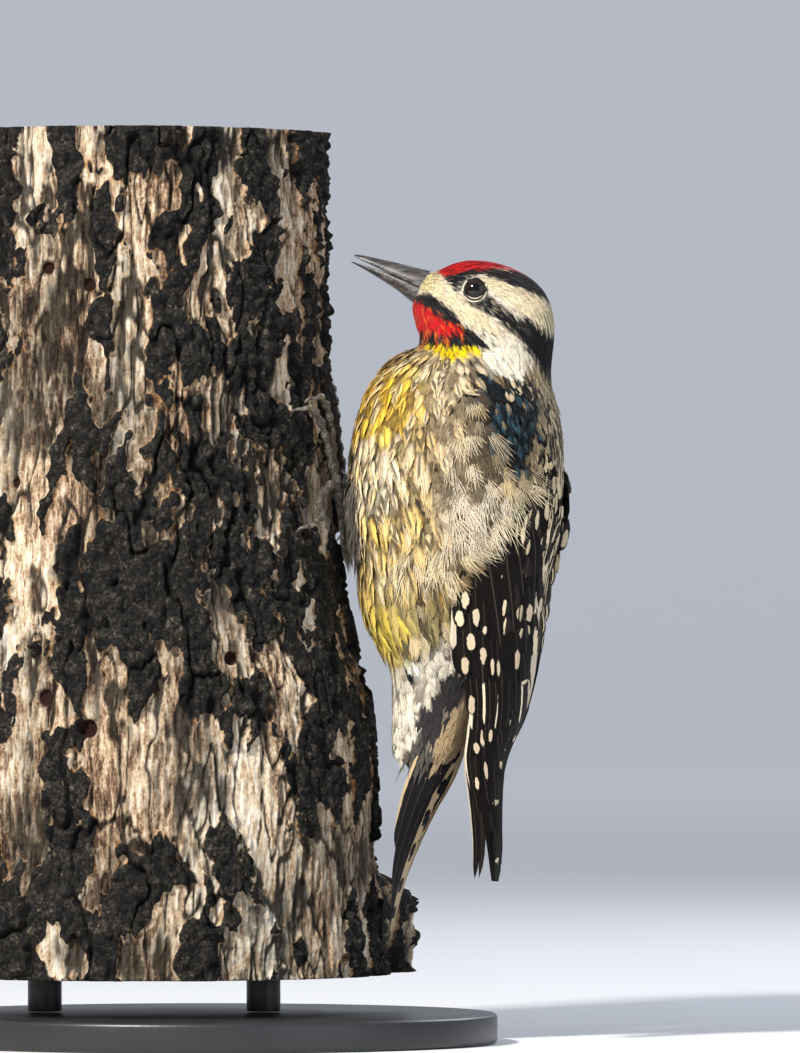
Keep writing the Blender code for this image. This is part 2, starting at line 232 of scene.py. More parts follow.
def parts_of(value, kind="ShaderNodeSeparateXYZ"):
    """The three parts of a vector or a colour."""
    node = value.make(kind, None, {0: value}).socket.node
    return [Shade(value.tree, output) for output in node.outputs]


print("shader helpers ready")

# %% [markdown]
# ## Finished pieces
# Every piece ends the same way: its mesh is in place, its object sits at the origin, it has
# one material, and it rides on the model's single body.

# %% Finishing a piece


def unit(vectors):
    """The same directions with a length of one."""
    return vectors / np.maximum(np.linalg.norm(vectors, axis=-1, keepdims=True), 1e-9)


def finish_piece(name, mesh, material, replaced=()):
    """Make the object of a finished mesh and hand it to the frame."""
    made = new_object(name, mesh)
    mesh.materials.clear()
    mesh.materials.append(material)
    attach(made, "root")
    if replaced:
        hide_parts(*replaced)
    triangles = sum(len(face.vertices) - 2 for face in mesh.polygons)
    print(f"{name}: {triangles} triangles")
    return made


print("finishing ready")

# %% [markdown]
# Small shapes are built with bmesh; large ones go to and from numpy as whole arrays, which is
# far quicker than point by point.

# %% Meshes and arrays


def mesh_of(bm, name):
    """A smooth mesh from a bmesh, which goes."""
    mesh = bpy.data.meshes.new(name)
    bm.to_mesh(mesh)
    bm.free()
    mesh.shade_smooth()
    return mesh


def joined(meshes, name):
    """Several meshes as one; the parts go."""
    bm = bmesh.new()
    for mesh in meshes:
        bm.from_mesh(mesh)
        bpy.data.meshes.remove(mesh)
    return mesh_of(bm, name)


def rows_of(mesh, what="co"):
    """The places or normals of a mesh's points, one row each."""
    flat = np.empty(len(mesh.vertices) * 3, np.float32)
    mesh.vertices.foreach_get(what, flat)
    return flat.reshape(-1, 3)


def set_rows(mesh, points):
    """Move a mesh's points to places in millimetres."""
    mesh.vertices.foreach_set("co", (points * MM).astype(np.float32).ravel())


def array_mesh(name, points, loops, starts):
    """A mesh from arrays of points in millimetres, face corners and each face's first corner."""
    mesh = bpy.data.meshes.new(name)
    mesh.vertices.add(len(points))
    mesh.vertices.foreach_set("co", (np.asarray(points, np.float32) * MM).ravel())
    mesh.loops.add(len(loops))
    mesh.loops.foreach_set("vertex_index", loops.astype(np.int32))
    mesh.polygons.add(len(starts))
    mesh.polygons.foreach_set("loop_start", starts.astype(np.int32))
    mesh.update(calc_edges=True)
    mesh.validate()
    mesh.shade_smooth()
    return mesh


print("helpers ready")

# %% [markdown]
# ## Floor and light
# A pale sweep stands behind the model, and soft boxes light it: a warm key high on the left,
# a broad fill from the right and a dim sky all round.

# %% Floor, backdrop and lights
FLOOR_COLOUR = rgba(226, 227, 230)
SWEEP_RADIUS = 2.0
SWEEP_START = 6.5
SWEEP_STEPS = 12

floor_bm = bmesh.new()
profile = [floor_bm.verts.new((0.0, y, 0.0)) for y in (-8.0, 0.0, SWEEP_START)]
for k in range(1, SWEEP_STEPS + 1):
    turn = math.pi / 2 * k / SWEEP_STEPS
    profile.append(floor_bm.verts.new((
        0.0, SWEEP_START + SWEEP_RADIUS * math.sin(turn), SWEEP_RADIUS * (1 - math.cos(turn)))))
profile.append(floor_bm.verts.new((0.0, SWEEP_START + SWEEP_RADIUS, 7.0)))
edges = [floor_bm.edges.new(pair) for pair in zip(profile, profile[1:])]
bmesh.ops.translate(floor_bm, vec=(-9.0, 0.0, 0.0), verts=floor_bm.verts)
grown = bmesh.ops.extrude_edge_only(floor_bm, edges=edges)["geom"]
grown = [item for item in grown if isinstance(item, bmesh.types.BMVert)]
bmesh.ops.translate(floor_bm, vec=(18.0, 0.0, 0.0), verts=grown)
bmesh.ops.recalc_face_normals(floor_bm, faces=floor_bm.faces)
floor = new_object("floor", mesh_of(floor_bm, "floor"))
floor.data.materials.append(new_material("floor", Roughness=0.9, Base_Color=FLOOR_COLOUR)[0])


def soft_box(name, place, size, power, tint, aim=VIEW_MIDDLE):
    """A square light that faces the middle of the model, or another place."""
    data = bpy.data.lights.new(name, "AREA")
    data.size, data.energy, data.color = size, power, tint
    light = new_object(name, data)
    light.location = place
    way = Vector(aim) - Vector(place)
    light.rotation_euler = way.to_track_quat("-Z", "Y").to_euler()


soft_box("key", (-0.75, -1.15, 1.05), 0.16, 45.0, (1.0, 0.95, 0.88))
soft_box("fill", (1.3, -1.2, 0.5), 1.2, 5.0, (0.86, 0.92, 1.0))
soft_box("rim", (0.9, 1.0, 0.9), 0.6, 9.0, (0.9, 0.95, 1.0))
soft_box("sweep_light", (0.0, 4.0, 5.0), 3.0, 85.0, (0.92, 0.96, 1.0), (0.0, 8.5, 1.5))
world = bpy.data.worlds.new("sky")
world.use_nodes = True
sky = world.node_tree.nodes["Background"].inputs
sky["Color"].default_value, sky["Strength"].default_value = (0.82, 0.88, 1.0, 1.0), 0.42
bpy.context.scene.world = world
bpy.context.scene.view_settings.view_transform = "Standard"
print("floor and lights ready")

# %% [markdown]
# ## The bird's own frame
# The bird is turned a little about the vertical. Its plumage is easier to lay out in its own
# frame, in millimetres: front towards -X, left towards -Y. Both sides carry the same
# markings, so a marking's place is given as it shows from the left, (x, z).

# %% From the bird to the world and back
BIRD_YAW = math.radians(-6)
PIVOT = np.array([66.0, 0.0, 0.0])
BIRD_MIDDLE = np.array([66.0, -5.0, 0.0])
TURN = np.array(Matrix.Rotation(BIRD_YAW, 3, "Z"))
LEAN = math.sin(-BIRD_YAW)


def to_world(points):
    """Points of the bird's frame in the world, both in millimetres."""
    return (np.asarray(points) - PIVOT) @ TURN.T + BIRD_MIDDLE


def to_bird(points):
    """Points of the world in the bird's frame."""
    return (np.asarray(points) - BIRD_MIDDLE) @ TURN + PIVOT


def seen_from_left(points):
    """Where each point of the bird's frame, or its twin on the left, shows from the left."""
    near = np.abs(points[:, 1])
    nearer = near - BIRD_MIDDLE[1]
    x = PIVOT[0] + (points[:, 0] - PIVOT[0]) * math.cos(BIRD_YAW) - LEAN * near
    grown = 1 + nearer * MM / CAMERA_DISTANCE
    middle_x, _, middle_z = VIEW_MIDDLE / MM
    z = middle_z + (points[:, 2] - middle_z) * grown + nearer * math.sin(CAMERA_TIP)
    return middle_x + (x - middle_x) * grown, z


print("the bird is turned by", round(math.degrees(BIRD_YAW)), "degrees")

# %% [markdown]
# ## One skin
# Under the feathers lies a single skin. Head, neck, body, rump and legs are swollen a hair
# so that they meet, joined, remeshed into one surface and smoothed, and then drawn in by
# the depth of the coat. Sculpting would do as well, but a remesh follows the solids exactly.

# %% Skin
FLESH = ("head", "neck", "body", "rump", "leg_left", "leg_right")
SWELL, EYE_SWELL = 0.35, -0.5
VOXEL = 0.85


def swollen(name):
    """A merged and swollen copy of a node's mesh."""
    bm = bmesh.new()
    bm.from_mesh(nodes[name].data)
    bmesh.ops.remove_doubles(bm, verts=bm.verts, dist=1e-5)
    bm.normal_update()
    swell = EYE_SWELL if name.startswith("eye") else SWELL
    for vertex in bm.verts:
        vertex.co += vertex.normal * swell * MM
    return mesh_of(bm, name)


def make_skin_mesh():
    """All the flesh as one even, smooth surface."""
    parts = [swollen(name) for name in (*FLESH, "eye_left", "eye_right")]
    item = new_object("skin", joined(parts, "flesh"))
    remesh = item.modifiers.new("one_surface", "REMESH")
    remesh.mode, remesh.voxel_size = "VOXEL", VOXEL * MM
    smooth = item.modifiers.new("smooth", "SMOOTH")
    smooth.factor, smooth.iterations = 0.5, 8
    bpy.context.view_layer.update()
    graph = bpy.context.evaluated_depsgraph_get()
    mesh = bpy.data.meshes.new_from_object(item.evaluated_get(graph))
    bpy.data.objects.remove(item, do_unlink=True)
    return mesh


def coat_depth(points):
    """How deep the plumage is, in millimetres, at points of the bird's frame."""
    x, z = seen_from_left(points)
    deep = 1.5 - 0.75 * np.clip((z - 178.0) / 12.0, 0, 1)
    return deep - 0.35 * np.clip((74.0 - x) / 14.0, 0, 1) * (z > 185)


skin_mesh = make_skin_mesh()
skin_mesh.shade_smooth()
skin_points = rows_of(skin_mesh) / MM
skin_normals = rows_of(skin_mesh, "normal")
inward = coat_depth(to_bird(skin_points)) + SWELL
skin_points = skin_points - skin_normals * inward[:, None]
set_rows(skin_mesh, skin_points)
skin_mesh.update()
print("skin:", len(skin_points), "points")

# %% [markdown]
# The skin is unwrapped once, on its own shape. Each feather's small patch of the bake map
# later sits at its root's place on this unwrap.

# %% Unwrap the skin


def unwrap(mesh):
    """Blender's own unwrap by facing, kept under the name that the bake reads."""
    item = new_object("to_unwrap", mesh)
    bpy.context.view_layer.objects.active = item
    item.select_set(True)
    mesh.uv_layers.new(name="OFBake")
    bpy.ops.object.mode_set(mode="EDIT")
    bpy.ops.mesh.select_all(action="SELECT")
    bpy.ops.uv.smart_project(angle_limit=math.radians(66), island_margin=0.004)
    bpy.ops.object.mode_set(mode="OBJECT")
    bpy.data.objects.remove(item, do_unlink=True)


unwrap(skin_mesh)
corners = np.empty(len(skin_mesh.loops) * 2, np.float32)
skin_mesh.uv_layers["OFBake"].data.foreach_get("uv", corners)
corners = corners.reshape(-1, 2)
face_starts = np.empty(len(skin_mesh.polygons), np.int32)
skin_mesh.polygons.foreach_get("loop_start", face_starts)
skin_face_uv = np.add.reduceat(corners, face_starts, axis=0)
skin_face_uv /= np.diff(np.append(face_starts, len(corners)))[:, None]
skin_faces = [list(face.vertices) for face in skin_mesh.polygons]
skin_tree = BVHTree.FromPolygons([Vector(p) for p in skin_points], skin_faces)
print("unwrapped", len(skin_faces), "faces")

# %% [markdown]
# ## Markings
# The plumage's pattern is a set of shapes seen from the left: bands, caps and patches, each
# a short outline in millimetres with a soft edge. The same functions colour the skin and
# every feather, so both always agree.

# %% Soft shapes


def patch(x, z, outline, soft=0.5):
    """1 inside an outline and 0 outside, soft across its edge."""
    corners = np.asarray(outline, float)
    inside = np.zeros(len(x), bool)
    nearest = np.full(len(x), 1e9)
    for (ax, az), (bx, bz) in zip(corners, np.roll(corners, -1, axis=0)):
        crosses = (az > z) != (bz > z)
        slope = (bx - ax) / (bz - az) if bz != az else 0
        inside ^= crosses & (x < ax + slope * (z - az))
        length = (bx - ax) ** 2 + (bz - az) ** 2
        along = np.clip(((x - ax) * (bx - ax) + (z - az) * (bz - az)) / length, 0, 1)
        away = np.hypot(x - ax - along * (bx - ax), z - az - along * (bz - az))
        nearest = np.minimum(nearest, away)
    depth = np.where(inside, nearest, -nearest)
    return smooth_step(depth, -soft, soft)


def smooth_step(value, low, high):
    """0 below low, 1 above high and smooth between."""
    share = np.clip((value - low) / (high - low), 0, 1)
    return share * share * (3 - 2 * share)


def near(x, z, place, reach):
    """1 at a place, falling to 0 at a distance."""
    away = np.hypot(x - place[0], z - place[1])
    return 1 - smooth_step(away, reach * 0.35, reach)


def paint(base, *layers):
    """Lay colours over others, each with the mask that it is laid by."""
    for mask, tint in layers:
        base = base + (np.asarray(tint) - base) * mask[:, None]
    return base


print("soft shapes ready")

# %% [markdown]
# ## Colours and outlines
# The bird wears a red cap and throat, black and white bands on its head and a black bib over a
# yellow spot. A grey oval of painted shadow lies over the tail, beside a tan band that is the
# white rump in painted shade.

# %% Colours of the plumage
CREAM = colour(234, 208, 150)
PALE = colour(234, 216, 186)
BUFF = colour(176, 156, 124)
YELLOW = colour(238, 206, 84)
BRIGHT_YELLOW = colour(252, 214, 12)
AMBER = colour(255, 204, 40)
MOSS_YELLOW = colour(206, 184, 34)
WHITE = colour(240, 230, 210)
WARM_WHITE = colour(240, 224, 188)
BLACK = colour(18, 18, 21)
BLUE_BLACK = colour(9, 20, 28)
RED = colour(218, 10, 18)
DARK_RED = colour(84, 8, 14)
ORANGE = colour(240, 110, 40)
GREY = colour(104, 98, 88)
ASH = colour(168, 158, 138)
# Grey of the painted shadow over the tail's base.
PAINTED_SHADOW_GREY = colour(52, 49, 50)
STEEL_BLUE = colour(66, 100, 114)
# Tan: the white rump in painted shade.
SHADED_RUMP_TAN = colour(190, 164, 126)
OLIVE = colour(122, 112, 74)
LORE_YELLOW = colour(240, 222, 150)
UMBER = colour(66, 50, 34)
MARK = (0.034, 0.024, 0.018, 1)
print("plumage colours ready")

# %% [markdown]
# The head's bands could be painted by hand. Short outlines (x, z) keep every edge editable.

# %% Outlines of the head
RED_CAP = (
    (62.6, 204), (64.3, 203.2), (67.1, 203.8), (72.8, 204.8), (80.9, 204.8), (84.2, 204),
    (87.4, 202.1), (89, 202.1), (86, 209), (72.8, 211), (62.9, 208),
)
CROWN_BLACK = (
    (64.3, 203.6), (72.8, 205.2), (84.2, 204.2), (87.4, 202.4), (91, 201.5), (95.5, 197.5),
    (91.9, 195.8), (89, 197.3), (85, 199.3), (80.9, 201.1), (76.9, 202.7), (74, 203.6),
    (72, 203.2), (69.6, 201.9), (68.6, 200.3), (68.4, 198.5), (66.7, 199.7), (64.7, 202.3),
)
BROW_WHITE = (
    (72, 203.2), (76.9, 202.7), (80.9, 201.1), (85, 199.3), (89, 197.3), (91.9, 195.2),
    (97, 196.5), (97, 187), (93.1, 186.8), (90.3, 188.3), (87, 191.2), (83.8, 193.2),
    (80.9, 195.4), (76.9, 198.9), (74, 201.7),
)
EAR_BLACK = (
    (69.8, 196.3), (74, 196.8), (75.4, 198.6), (76.6, 197.4), (80.5, 193.9), (83.6, 192.2),
    (87, 190.8), (90.3, 188.3), (93.1, 185.5), (97, 186.5), (97, 174), (91, 174), (87, 181.5),
    (84.2, 185.9), (80.9, 188.3), (78.9, 190.8), (75.2, 192.8), (72.8, 194.2),
)
MOUSTACHE = (
    (56, 205), (62.7, 204.4), (64.7, 201.7), (67.5, 199.3), (68.8, 197.3), (71.2, 195.2),
    (74.8, 192.8), (78.5, 190.4), (80.9, 187.5), (78.9, 186.5), (75.2, 187.5), (71.6, 188.8),
    (68.8, 191.2), (63.9, 196.1), (60.2, 198.5), (56, 200.5),
)
NECK_WHITE = (
    (71.2, 188.3), (78.9, 186.1), (81.7, 186.3), (85, 182.3), (86.6, 177.8), (84.2, 174),
    (79.3, 174.5), (76.1, 177.2), (74, 181.5), (76.3, 183.5), (73.6, 185.1),
)
CHEEK_LINE = (
    (71.5, 189), (75.2, 187.6), (79, 186.8), (81.5, 187.6), (79, 185.9), (75.2, 186.8),
)
MALAR_BLACK = (
    (56, 198.2), (60.2, 198.5), (63.9, 195.9), (68.8, 191.2), (71.2, 188.3), (74, 186.3),
    (76.7, 183.3), (74.4, 182.9), (69.6, 185.4), (66.4, 188.2), (63.2, 189.3), (59.8, 192.3),
    (57.6, 194), (54, 194.6),
)
THROAT_RED = (
    (52, 196.6), (58.2, 195.4), (60.6, 193.6), (63.9, 190.6), (67.1, 189.4), (70.4, 186.6),
    (66, 185), (56.6, 184), (51, 184),
)
print("head outlines ready")

# %% [markdown]
# Below the head the patches are larger and softer: bib, yellow spot, shoulder, flank and rump,
# whose grey oval and tan band are painted shade.

# %% Outlines of the body
BIB_BLACK = (
    (52, 186), (60.6, 186.9), (69.6, 187), (72, 186), (76.5, 183.8), (72.8, 183.2), (64.7, 183.9),
    (57, 183.3), (53.3, 182), (49.7, 179.4), (46.6, 177.6), (46, 181),
)
YELLOW_PATCH = (
    (58, 184.2), (64.7, 184.6), (70, 184.4), (74.4, 183.6), (74, 181.9), (70.8, 181), (66, 179.6),
    (61, 181),
)
SHOULDER_BLACK = (
    (70.8, 180.4), (72.8, 180.8), (75.2, 179.2), (79.3, 175.8), (84.2, 174.8), (88, 175),
    (89.5, 168), (88, 158), (84, 149), (79.5, 151), (76.5, 159), (72.8, 169.5),
)
YELLOW_BREAST = (
    (44, 179), (52, 180), (58, 173), (55, 163), (48, 157), (39, 158), (38.5, 165), (41, 172),
)
# Painted shadow: a grey oval where the body's shadow falls on the tail's base.
PAINTED_SHADOW_PATCH = (
    (62.7, 96), (66.9, 99), (69.6, 97), (69, 92), (66.4, 88), (64.4, 84.8), (61.3, 78.4),
    (58.9, 77.4), (57, 82.8), (57.6, 87.1), (60.8, 91.3),
)
# Painted shade: the white rump where shade falls, given as a tan band.
SHADED_RUMP_BAND = (
    (69.6, 97), (73.5, 95), (73.5, 72), (61, 66), (60.2, 74), (61.3, 78.4), (64.4, 84.8),
    (66.4, 88), (69, 92),
)
TAIL_TOP = (
    (57.4, 82), (58.9, 77.4), (61.3, 78.4), (60.2, 74), (60, 62), (50, 62), (53, 74),
)
# Painted shade: a dark band along the edge of the folded wing; pale hairs are laid over it.
PAINTED_SHADE_BY_WING = (
    (71, 177), (75, 172), (77, 162), (79, 155), (88, 152), (88, 147), (78, 148.5), (74, 152),
    (72, 160), (69.5, 170),
)
FLANK = (
    (67, 170), (72, 176), (74, 166), (77, 158), (84, 153), (88, 148), (86, 141), (80, 135),
    (77, 127), (70, 119), (66, 120), (63, 130), (63, 150),
)
VENT_SPOTS = ((56.8, 101.9), (61.4, 103.6), (55.5, 97.3), (59.3, 106), (63.8, 102.6))
print("body outlines ready")

# %% [markdown]
# Plumage is layered like paint. One list, from below upwards, colours skin and feathers.

# %% The plumage's colour at any point
# From below upwards, each: outline, ink, softness of the edge and how much it covers.
BANDS = (
    # The band by the wing is painted shade.
    (YELLOW_BREAST, AMBER, 4, 0.75), (PAINTED_SHADE_BY_WING, UMBER, 2.5, 0.7),
    # The grey oval is painted shadow, and the tan band is the white rump in painted shade.
    (PAINTED_SHADOW_PATCH, PAINTED_SHADOW_GREY, 0.5, 1), (SHADED_RUMP_BAND, SHADED_RUMP_TAN, 0.6, 1),
    (TAIL_TOP, BLACK, 0.6, 0.9), (SHOULDER_BLACK, BLUE_BLACK, 1.3, 1),
    (YELLOW_PATCH, BRIGHT_YELLOW, 0.7, 1), (MOUSTACHE, WARM_WHITE, 0.4, 1),
    (NECK_WHITE, WHITE, 0.6, 1), (EAR_BLACK, BLACK, 0.7, 1),
    (BROW_WHITE, WARM_WHITE, 0.5, 1), (CHEEK_LINE, BLACK, 0.3, 0.9),
    (MALAR_BLACK, BLACK, 0.45, 1), (CROWN_BLACK, BLACK, 0.35, 1),
    (RED_CAP, RED, 0.35, 1), (THROAT_RED, RED, 0.4, 1), (BIB_BLACK, BLACK, 0.35, 1),
)


def plumage_tint(points):
    """The colour of the plumage at points of the bird's frame."""
    x, z = seen_from_left(points)
    front = 1 - smooth_step(x, 46, 62)
    back = smooth_step(x, 79, 83) * smooth_step(z, 104, 112)
    nape = smooth_step(points[:, 0], 90.5, 92) * (1 - smooth_step(np.abs(points[:, 1]), 2, 4))
    nape = nape * smooth_step(z, 172, 176) * (1 - smooth_step(z, 186, 188))
    return paint(
        np.tile(np.asarray(CREAM), (len(points), 1)),
        (0.38 * front * smooth_step(z, 102, 112), YELLOW),
        (near(x, z, (42, 147), 16) * 0.75, WHITE),
        (smooth_step(x, 56, 64) * smooth_step(z, 124, 134) * 0.55, PALE),
        (near(x, z, (59, 112), 11) * 0.85, OLIVE),
        (near(x, z, (61, 118), 6) * 0.75, UMBER),
        (near(x, z, (46.5, 106), 11) * 0.75, MOSS_YELLOW),
        (1 - smooth_step(z - 0.63 * (x - 50), 95.5, 99.5), WHITE),
        *((near(x, z, spot, 1.7), BLACK) for spot in VENT_SPOTS),
        (back * 0.9, BUFF),
        (smooth_step(z + 0.3 * (x - 66), 184, 187), WHITE),
        *((patch(x, z, outline, soft) * share, ink) for outline, ink, soft, share in BANDS),
        (nape, BLACK),
        (near(x, z, (58.6, 202.2), 5) * 0.55, LORE_YELLOW),
    )


print("markings ready")

# %% [markdown]
# ## The skin's finish
# Between the feathers a dim, soft down shows on a real bird. The skin takes the markings at
# each of its points, darkened by a fine noise: partly that dim down, partly painted shade in
# the gaps between feathers, so that no bare gap ever looks bright.

# %% Skin material and piece
skin_material, skin_shader, start = new_material("skin", Roughness=0.8)
grain = speckles(start, 1400, 3)
# Painted shade in part: the skin keeps only about a third to two thirds of the plumage's colour.
dim = (grain * 0.35 + 0.35).blend(NEAR_BLACK, attribute(start, "tint"))
plug(skin_shader, Base_Color=dim, Normal=bumped(grain, 0.0002))


def set_point_colours(mesh, name, values):
    """Store a colour for each point of a mesh."""
    layer = mesh.attributes.new(name, "FLOAT_COLOR", "POINT")
    filled = np.ones((len(values), 4), np.float32)
    filled[:, :values.shape[1]] = values
    layer.data.foreach_set("color", filled.ravel())


set_point_colours(skin_mesh, "tint", plumage_tint(to_bird(skin_points)))
finish_piece("skin", skin_mesh, skin_material, FLESH)

# %% [markdown]
# ## Feather shapes
# One feather is modelled flat with bmesh and then laid out thousands of times with numpy.
# A close feather is a small vane with a notched tip.

# %% Vanes and strips


def grid(bm, columns, rows, shape):
    """Add a flat grid whose points go where shape(across, along) says."""
    made = bmesh.ops.create_grid(bm, x_segments=columns, y_segments=rows, size=1)["verts"]
    for vertex in made:
        vertex.co = shape(vertex.co.x, (vertex.co.y + 1) / 2)


def close_vane(across, along):
    """A vane with its tip broken into a few points."""
    reach = along * (1 - 0.22 * across * across)
    if along > 0.99:
        reach += 0.07 * math.cos(across * 9)
    width = 0.35 + 0.65 * math.sin(math.pi * min(along * 1.1, 1) ** 0.8) ** 0.7
    return across * width, reach, 0


def tuft_vane(across, along):
    """The soft vane under a tuft's barbs."""
    width = 0.8 * math.sin(math.pi * (0.15 + 0.8 * along)) ** 0.9
    return across * width, along * 0.86, -0.12


def strip(bm, path, widths):
    """Add a thin strip of a few faces that narrows to a point, bent along a path."""
    steps = len(path) - 1

    def shape(side, along):
        row = round(along * steps)
        ahead = Vector(path[min(row + 1, steps)]) - Vector(path[max(row - 1, 0)])
        across = Vector((ahead.y, -ahead.x, 0)).normalized()
        return Vector(path[row]) + across * side * widths[row]

    grid(bm, 1, steps, shape)


print("vanes ready")

# %% [markdown]
# A loose feather has a vane near its shaft and free barbs round it, which give the soft, hairy
# edge of breast and flank. Hair could do it too, but strips export as they are.

# %% Feathers with free barbs


def loose_feather(bm, barbs, reach, core):
    """A narrow vane with separate barbs that sweep out towards the tip."""
    def core_width(along):
        return core * math.sin(math.pi * (0.12 + 0.84 * along)) ** 0.8

    grid(bm, 2, 4, lambda across, along: (across * core_width(along), along * 0.88, 0))
    for side in (-1, 1):
        for k in range(barbs):
            share = (k + 0.5) / barbs
            base = 0.15 + 0.68 * share
            width = 0.7 * core * math.sin(math.pi * (0.12 + 0.84 * base)) ** 0.8
            out = 1 - 0.8 * share ** 1.5 + 0.06 * math.sin(9 * k)
            tip = min(base + reach * (0.75 + 0.35 * share), 1.1 - 0.02 * k)
            lift = 0.1 * math.sin(5.1 * k + side)
            path = ((side * width, base, 0),
                    (side * (width * 0.4 + out * 0.6), base + (tip - base) * 0.5, lift * 0.5),
                    (side * out, tip, lift))
            strip(bm, path, (0.42 / barbs, 0.3 / barbs, 0.03 / barbs))


def wisp_feather(bm, barbs, slim):
    """Only fine separate barbs that fan from the root."""
    for k in range(barbs):
        share = (k + 0.5) / barbs * 2 - 1
        end = 1.06 - 0.3 * abs(share) + 0.12 * math.sin(3.7 * k)
        lift = 0.12 * math.sin(7.3 * k)
        tip = share + 0.2 * math.sin(5.1 * k + 1)
        bow = share * 0.8 + 0.1 * math.sin(8.9 * k)
        root = 0.05 + 0.05 * math.sin(4.3 * k)
        path = ((share * 0.05, root, -0.1), (share * 0.55, end * 0.45, lift * 0.5),
                (bow, end * 0.78, lift), (tip, end, 0))
        strip(bm, path, (slim * 0.3, slim, slim * 0.7, slim * 0.08))


def tuft_feather(bm, barbs, slim):
    """A soft vane whose barbs bulge and then close to a point, over a narrow base."""
    grid(bm, 2, 3, tuft_vane)
    for k in range(barbs):
        share = (k + 0.5) / barbs * 2 - 1
        end = 1.08 - 0.3 * abs(share) ** 1.4 + 0.05 * math.sin(3.7 * k)
        lift = 0.1 * math.sin(7.3 * k)
        tip = share * 0.52 + 0.1 * math.sin(5.3 * k)
        path = ((share * 0.4, 0.04, 0), (share * 0.95, end * 0.45, lift),
                (share * 0.95, end * 0.8, lift), (tip, end, 0))
        strip(bm, path, (slim, slim, slim * 0.8, slim * 0.1))


print("barbs ready")

# %% [markdown]
# Every shape is read into arrays once. All the plumage is laid from these few feathers.

# %% Feather templates


def template(build, *sizes):
    """The arrays of a flat feather, facing up: points, face corners and face starts."""
    bm = bmesh.new()
    build(bm, *sizes)
    bm.verts.index_update()
    for face in bm.faces:
        face.normal_update()
        if face.normal.z < 0:
            face.normal_flip()
    points = np.array([vertex.co[:] for vertex in bm.verts])
    loops, starts = [], []
    for face in bm.faces:
        starts.append(len(loops))
        loops += [vertex.index for vertex in face.verts]
    bm.free()
    return points, np.array(loops), np.array(starts)


TEMPLATES = {
    "close": template(grid, 4, 4, close_vane),
    "hairy": template(wisp_feather, 6, 0.12),
    "loose": template(loose_feather, 7, 0.5, 0.42),
    "fluffy": template(loose_feather, 6, 0.7, 0.16),
    "wisp": template(wisp_feather, 12, 0.022),
    "fan": template(wisp_feather, 8, 0.03),
    "tuft": template(tuft_feather, 9, 0.085),
}
for name, (points, loops, starts) in TEMPLATES.items():
    print(name, len(loops) - 2 * len(starts), "triangles")

# %% [markdown]
# ## The lie of the coat
# Feathers run from the bill over the crown and down the back, and from the chin down the
# breast. A few directions given at places of the side view are blended by distance,
# and pressed into the skin's own slope.

# %% Directions of the coat
# Each: a place x, z of the side view, and the way that feathers point there.
LIE = (
    (57, 203.5, 0.9, 0.35), (58, 199.5, 0.9, -0.5), (57, 196, 0.5, -0.85), (65, 206.5, 1, 0.35),
    (75, 208, 1, -0.05), (84, 205, 0.85, -0.5), (91, 199, 0.45, -0.9), (94, 190, 0.05, -1),
    (94, 178, 0.05, -1), (64, 200, 0.85, -0.5), (70, 195.5, 0.8, -0.6), (78, 202, 0.95, -0.3),
    (85, 197, 0.85, -0.55), (79, 192, 0.75, -0.65), (88, 189, 0.5, -0.85), (82, 181, 0.25, -1),
    (90, 180, 0.1, -1), (75, 186, 0.55, -0.8), (58, 190, 0.35, -0.95), (65, 189, 0.6, -0.8),
    (62, 184, -0.1, -1), (52, 182.5, -0.7, -0.7), (44, 175, -0.5, -0.87), (39.5, 162, -0.12, -1),
    (37.5, 148, 0.02, -1), (40, 125, 0.1, -1), (45, 107, 0.4, -0.9), (49, 95, 0.05, -1),
    (49, 78, -0.02, -1), (62, 178, -0.05, -1), (53, 165, -0.1, -1), (56, 145, 0.1, -1),
    (66, 160, 0.15, -1), (66, 145, 0.35, -0.93), (70, 130, 0.5, -0.85), (58, 125, 0.2, -1),
    (56, 108, 0.1, -1), (62, 95, -0.15, -1), (82, 165, 0.1, -1), (96, 160, 0, -1),
    (94, 138, -0.2, -1), (84, 110, -0.3, -1), (74, 90, -0.3, -1), (66, 76, -0.3, -1),
    (56, 80, -0.08, -1),
)
BILL_ROOT = (57.2, 200.2)


def lie_of_coat(points, normals):
    """The direction of the coat at points of the bird's frame, along the skin."""
    places, ways = np.split(np.array(LIE), 2, axis=1)
    ways = ways / np.linalg.norm(ways, axis=1)[:, None]
    away = np.hypot(points[:, 0:1] - places[:, 0], points[:, 2:3] - places[:, 1])
    weight = 1 / (away + 1) ** 3
    flat = weight @ ways / weight.sum(1)[:, None]
    way = np.stack([flat[:, 0], np.zeros(len(points)), flat[:, 1]], axis=1)
    from_bill = np.hypot(points[:, 0] - BILL_ROOT[0], points[:, 2] - BILL_ROOT[1])
    face = 1 - smooth_step(from_bill, 3, 7)
    way[:, 1] += face * points[:, 1] * 0.35
    below = smooth_step(points[:, 2], 100, 175) * smooth_step(-points[:, 0], -60, -42)
    way[:, 1] += 0.012 * points[:, 1] * below
    way -= normals * (way * normals).sum(1)[:, None]
    return way / np.maximum(np.linalg.norm(way, axis=1), 1e-6)[:, None]


print("directions set at", len(LIE), "places")

# %% [markdown]
# ## Roots
# Roots are scattered over the skin by area and then thinned: a root that is kept takes the
# others within its own spacing away, so that feathers stand evenly and never in rows.

# %% Scatter and thin


